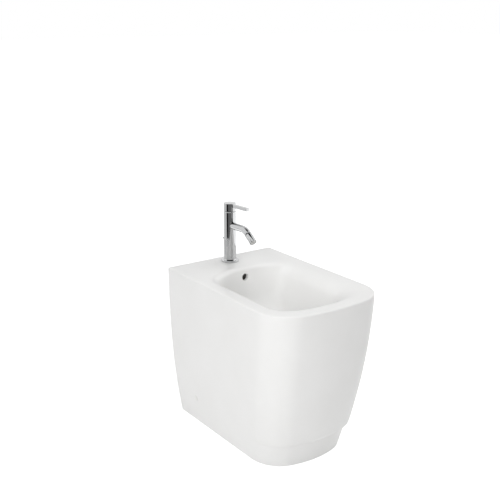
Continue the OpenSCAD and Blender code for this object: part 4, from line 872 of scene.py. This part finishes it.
dome = turned("dome_nut", [(DOME_HOLE_R, 3), (SCREWED_R, 3), (SCREWED_R, PIVOT_DOWN)]
              + ball_arc(DOME_R, TAP_R - 0.05, DOME_HOLE_R + 0.4, 14)
              + [(DOME_HOLE_R, 19)], shift(0, TAP_Y, PIVOT_Z))
fitted(dome, chrome, "bidet", "chrome", "dome_nut")

# ---------------------------------------------------------------------------- lever
# A turned head drops over the dome on the cartridge's square stem, and a hidden grub screw at
# the back holds it. A slim square bar is set into its front, and is the handle.
HEAD_H, HEAD_GAP = 25.0, 1.5
LEVER_UP, LEVER_RISE, LEVER_END = TAP_TOP + 19.0, 2.0, 87.5
LEVER_HALF_W, LEVER_HALF_T, LEVER_EASE = 5.0, 4.5, 0.5
GRUB_PLACE, GRUB_HOLE_R, GRUB_MOUTH_R = (0, TAP_Y - 1.01, PIVOT_Z + 25.0), 2.05, 2.5
under_head = [(r, z - PIVOT_DOWN) for r, z in ball_arc(DOME_R + HEAD_GAP, 0.0, TAP_R - 0.3, 14)]
head = turned("lever_head", under_head + with_rounds([
    (TAP_R, under_head[-1][1] + 0.25, 0), (TAP_R, HEAD_H, 0.8), (0, HEAD_H, 0)]),
    shift(0, TAP_Y, TAP_TOP), 128)
grub_hole = turned("cut", [(0, 6), (GRUB_HOLE_R, 6), (GRUB_HOLE_R, 17.9), (GRUB_MOUTH_R, 18.6),
                           (GRUB_MOUTH_R, 22), (0, 22)], shift(*GRUB_PLACE) @ tip(-90), 40)
bored(head, grub_hole)
fitted(head, chrome, "lever", "chrome", "lever_head")


def bar_ring(shrink, z, steps=5):
    """A rounded rectangle across the lever bar, drawn in by shrink, at z along the bar."""
    ring = []
    for sx, sy, start in ((1, 1, 0), (-1, 1, 1), (-1, -1, 2), (1, -1, 3)):
        for k in range(steps + 1):
            angle = math.pi / 2 * (start + k / steps)
            ring.append((sx * (LEVER_HALF_W - LEVER_EASE) + (LEVER_EASE - shrink) * math.cos(angle),
                         sy * (LEVER_HALF_T - LEVER_EASE) + (LEVER_EASE - shrink) * math.sin(angle),
                         z))
    return ring


bar_rings = [bar_ring(0, z) for z in (13.0, 30.0, 60.0)]
# the corner's arc stops just short of a point, so that no face closes up
bar_rings += [bar_ring(0.99 * LEVER_EASE * (1 - math.sin(a)),
                       LEVER_END - LEVER_EASE * (1 - math.cos(a))) for a in quarter(5)]
bar = skinned("lever_bar", bar_rings, shift(0, TAP_Y, LEVER_UP) @ tip(90 - LEVER_RISE))
fitted(bar, chrome, "lever", "chrome", "lever_bar")

# ------------------------------------------------------------------------- lift rod
# A steel rod runs down through the back of the column, with a turned knob on top to pull the
# plug shut. A brass clamp and a flat strap, under the deck, carry its pull to the waste.
KNOB_ALONG, KNOB_H, KNOB_R = 64.9287, 6.0, 5.5
finish(chrome, "lift_rod")
finish(brass, "rod_clamp")
finish(steel, "clamp_screw", "rod_strap")
knob = turned("lift_knob", with_rounds([
    (0, 0, 0), (KNOB_R - 0.2, 0, 0.6), (KNOB_R - 0.2, 1.1, 0.2), (KNOB_R - 0.5, 1.4, 0.2),
    (KNOB_R - 0.5, 1.8, 0.2), (KNOB_R, 2.1, 0.3), (KNOB_R, KNOB_H, 1.1), (0, KNOB_H, 0)]),
    at_rod(KNOB_ALONG - KNOB_H / 2))
fitted(knob, chrome, "lift_linkage", "chrome", "lift_knob")

# ---------------------------------------------------------------------------- waste
# The chromed flange is clamped into the basin's floor by a brass body and a big back nut, with
# rubber rings on both sides of the china. The pivot rod enters its side through a ball seat.
WASTE_SEAT_Z = BASIN_FLOOR_Z - 1.5
WASTE_TOP = WASTE_SEAT_Z + 2.6
WASTE_FLANGE_R, TUBE_R, BORE_R, TUBE_LOW, PLUG_SEAT_R = 31.5, 19.1, 16.6, 264.0, 19.8
waste = turned("waste_flange", with_rounds([
    (TUBE_R, WASTE_SEAT_Z, 0), (WASTE_FLANGE_R, WASTE_SEAT_Z, 0.2),
    (WASTE_FLANGE_R, WASTE_SEAT_Z + 1.5, 0.7), (WASTE_FLANGE_R - 3, WASTE_TOP, 1.5),
    (PLUG_SEAT_R, WASTE_TOP, 0.5), (PLUG_SEAT_R, WASTE_TOP - 1.5, 0.3),
    (BORE_R, WASTE_TOP - 1.5, 0.5), (BORE_R, TUBE_LOW, 0.3), (TUBE_R, TUBE_LOW, 0.3)]),
    shift(0, DRAIN_Y, 0))
fitted(waste, chrome, "bidet", "chrome", "waste_flange")
finish(brass, "waste_body", "waste_back_nut")
finish(rubber, "waste_upper_gasket", "waste_lower_gasket")
finish(nylon, "pivot_seat")
finish(chrome, "pivot_rod", "pivot_nut")

# ----------------------------------------------------------------------------- plug
# A low chromed dome on a ribbed stem. It rests on the pivot rod's inner end, and a rubber ring
# in a groove under its cap seals it when the rod lets it down.
CAP_Z, PLUG_R, PLUG_LOW, STEM_R = 305.687, 19.0, 252.345, 3.0
CAP_EDGE_Z, DOME_H = CAP_Z + 2.1, 1.7
NECK_R, NECK_Z, VANE_R, VANE_HALF_T, VANE_H = 14.6, CAP_Z - 7.0, 16.3, 1.0, 24.0
GROOVE_R, GROOVE_LOW, GROOVE_TOP = 13.6, CAP_Z - 4.8, CAP_Z - 2.2
plug_profile = with_rounds([
    (0, PLUG_LOW, 0), (STEM_R, PLUG_LOW, 0.8), (STEM_R, NECK_Z, 0), (NECK_R, NECK_Z, 0.4),
    (NECK_R, GROOVE_LOW, 0), (GROOVE_R, GROOVE_LOW, 0), (GROOVE_R, GROOVE_TOP, 0),
    (NECK_R, GROOVE_TOP, 0), (NECK_R, CAP_Z, 0), (PLUG_R, CAP_Z, 0.4), (PLUG_R, CAP_EDGE_Z, 0.9),
    *[(PLUG_R * math.sin(math.radians(a)), CAP_EDGE_Z + DOME_H * math.cos(math.radians(a)), 0)
      for a in (62, 50, 38, 26, 14, 0)]])
plug_turning = turned("plug", plug_profile, shift(0, DRAIN_Y, 0))
vane_corners = [(VANE_R, VANE_HALF_T), (-VANE_R, VANE_HALF_T), (-VANE_R, -VANE_HALF_T),
                (VANE_R, -VANE_HALF_T)]
vanes = [skinned("vane", [[(x, y, z) for x, y in vane_corners]
                          for z in (NECK_Z - VANE_H, NECK_Z + 0.5)],
                 shift(0, DRAIN_Y, 0) @ Matrix.Rotation(math.radians(turn), 4, "Z"))
         for turn in (45, 135)]
plug = joined("plug", plug_turning, *vanes)
fitted(plug, chrome, "plug", "chrome", "plug")
finish(rubber, "plug_seal")

# ----------------------------------------------------------------------------- trap
# A chromed bottle trap hangs from the waste: a nut with finger grips, the inlet tube, a body
# with a screwed cup, and a grip nut that holds the outlet pipe, which runs back to the wall.
finish(chrome, "trap_top_nut", "trap_inlet", "trap_body", "trap_cup", "trap_outlet_nut",
       "outlet_pipe")
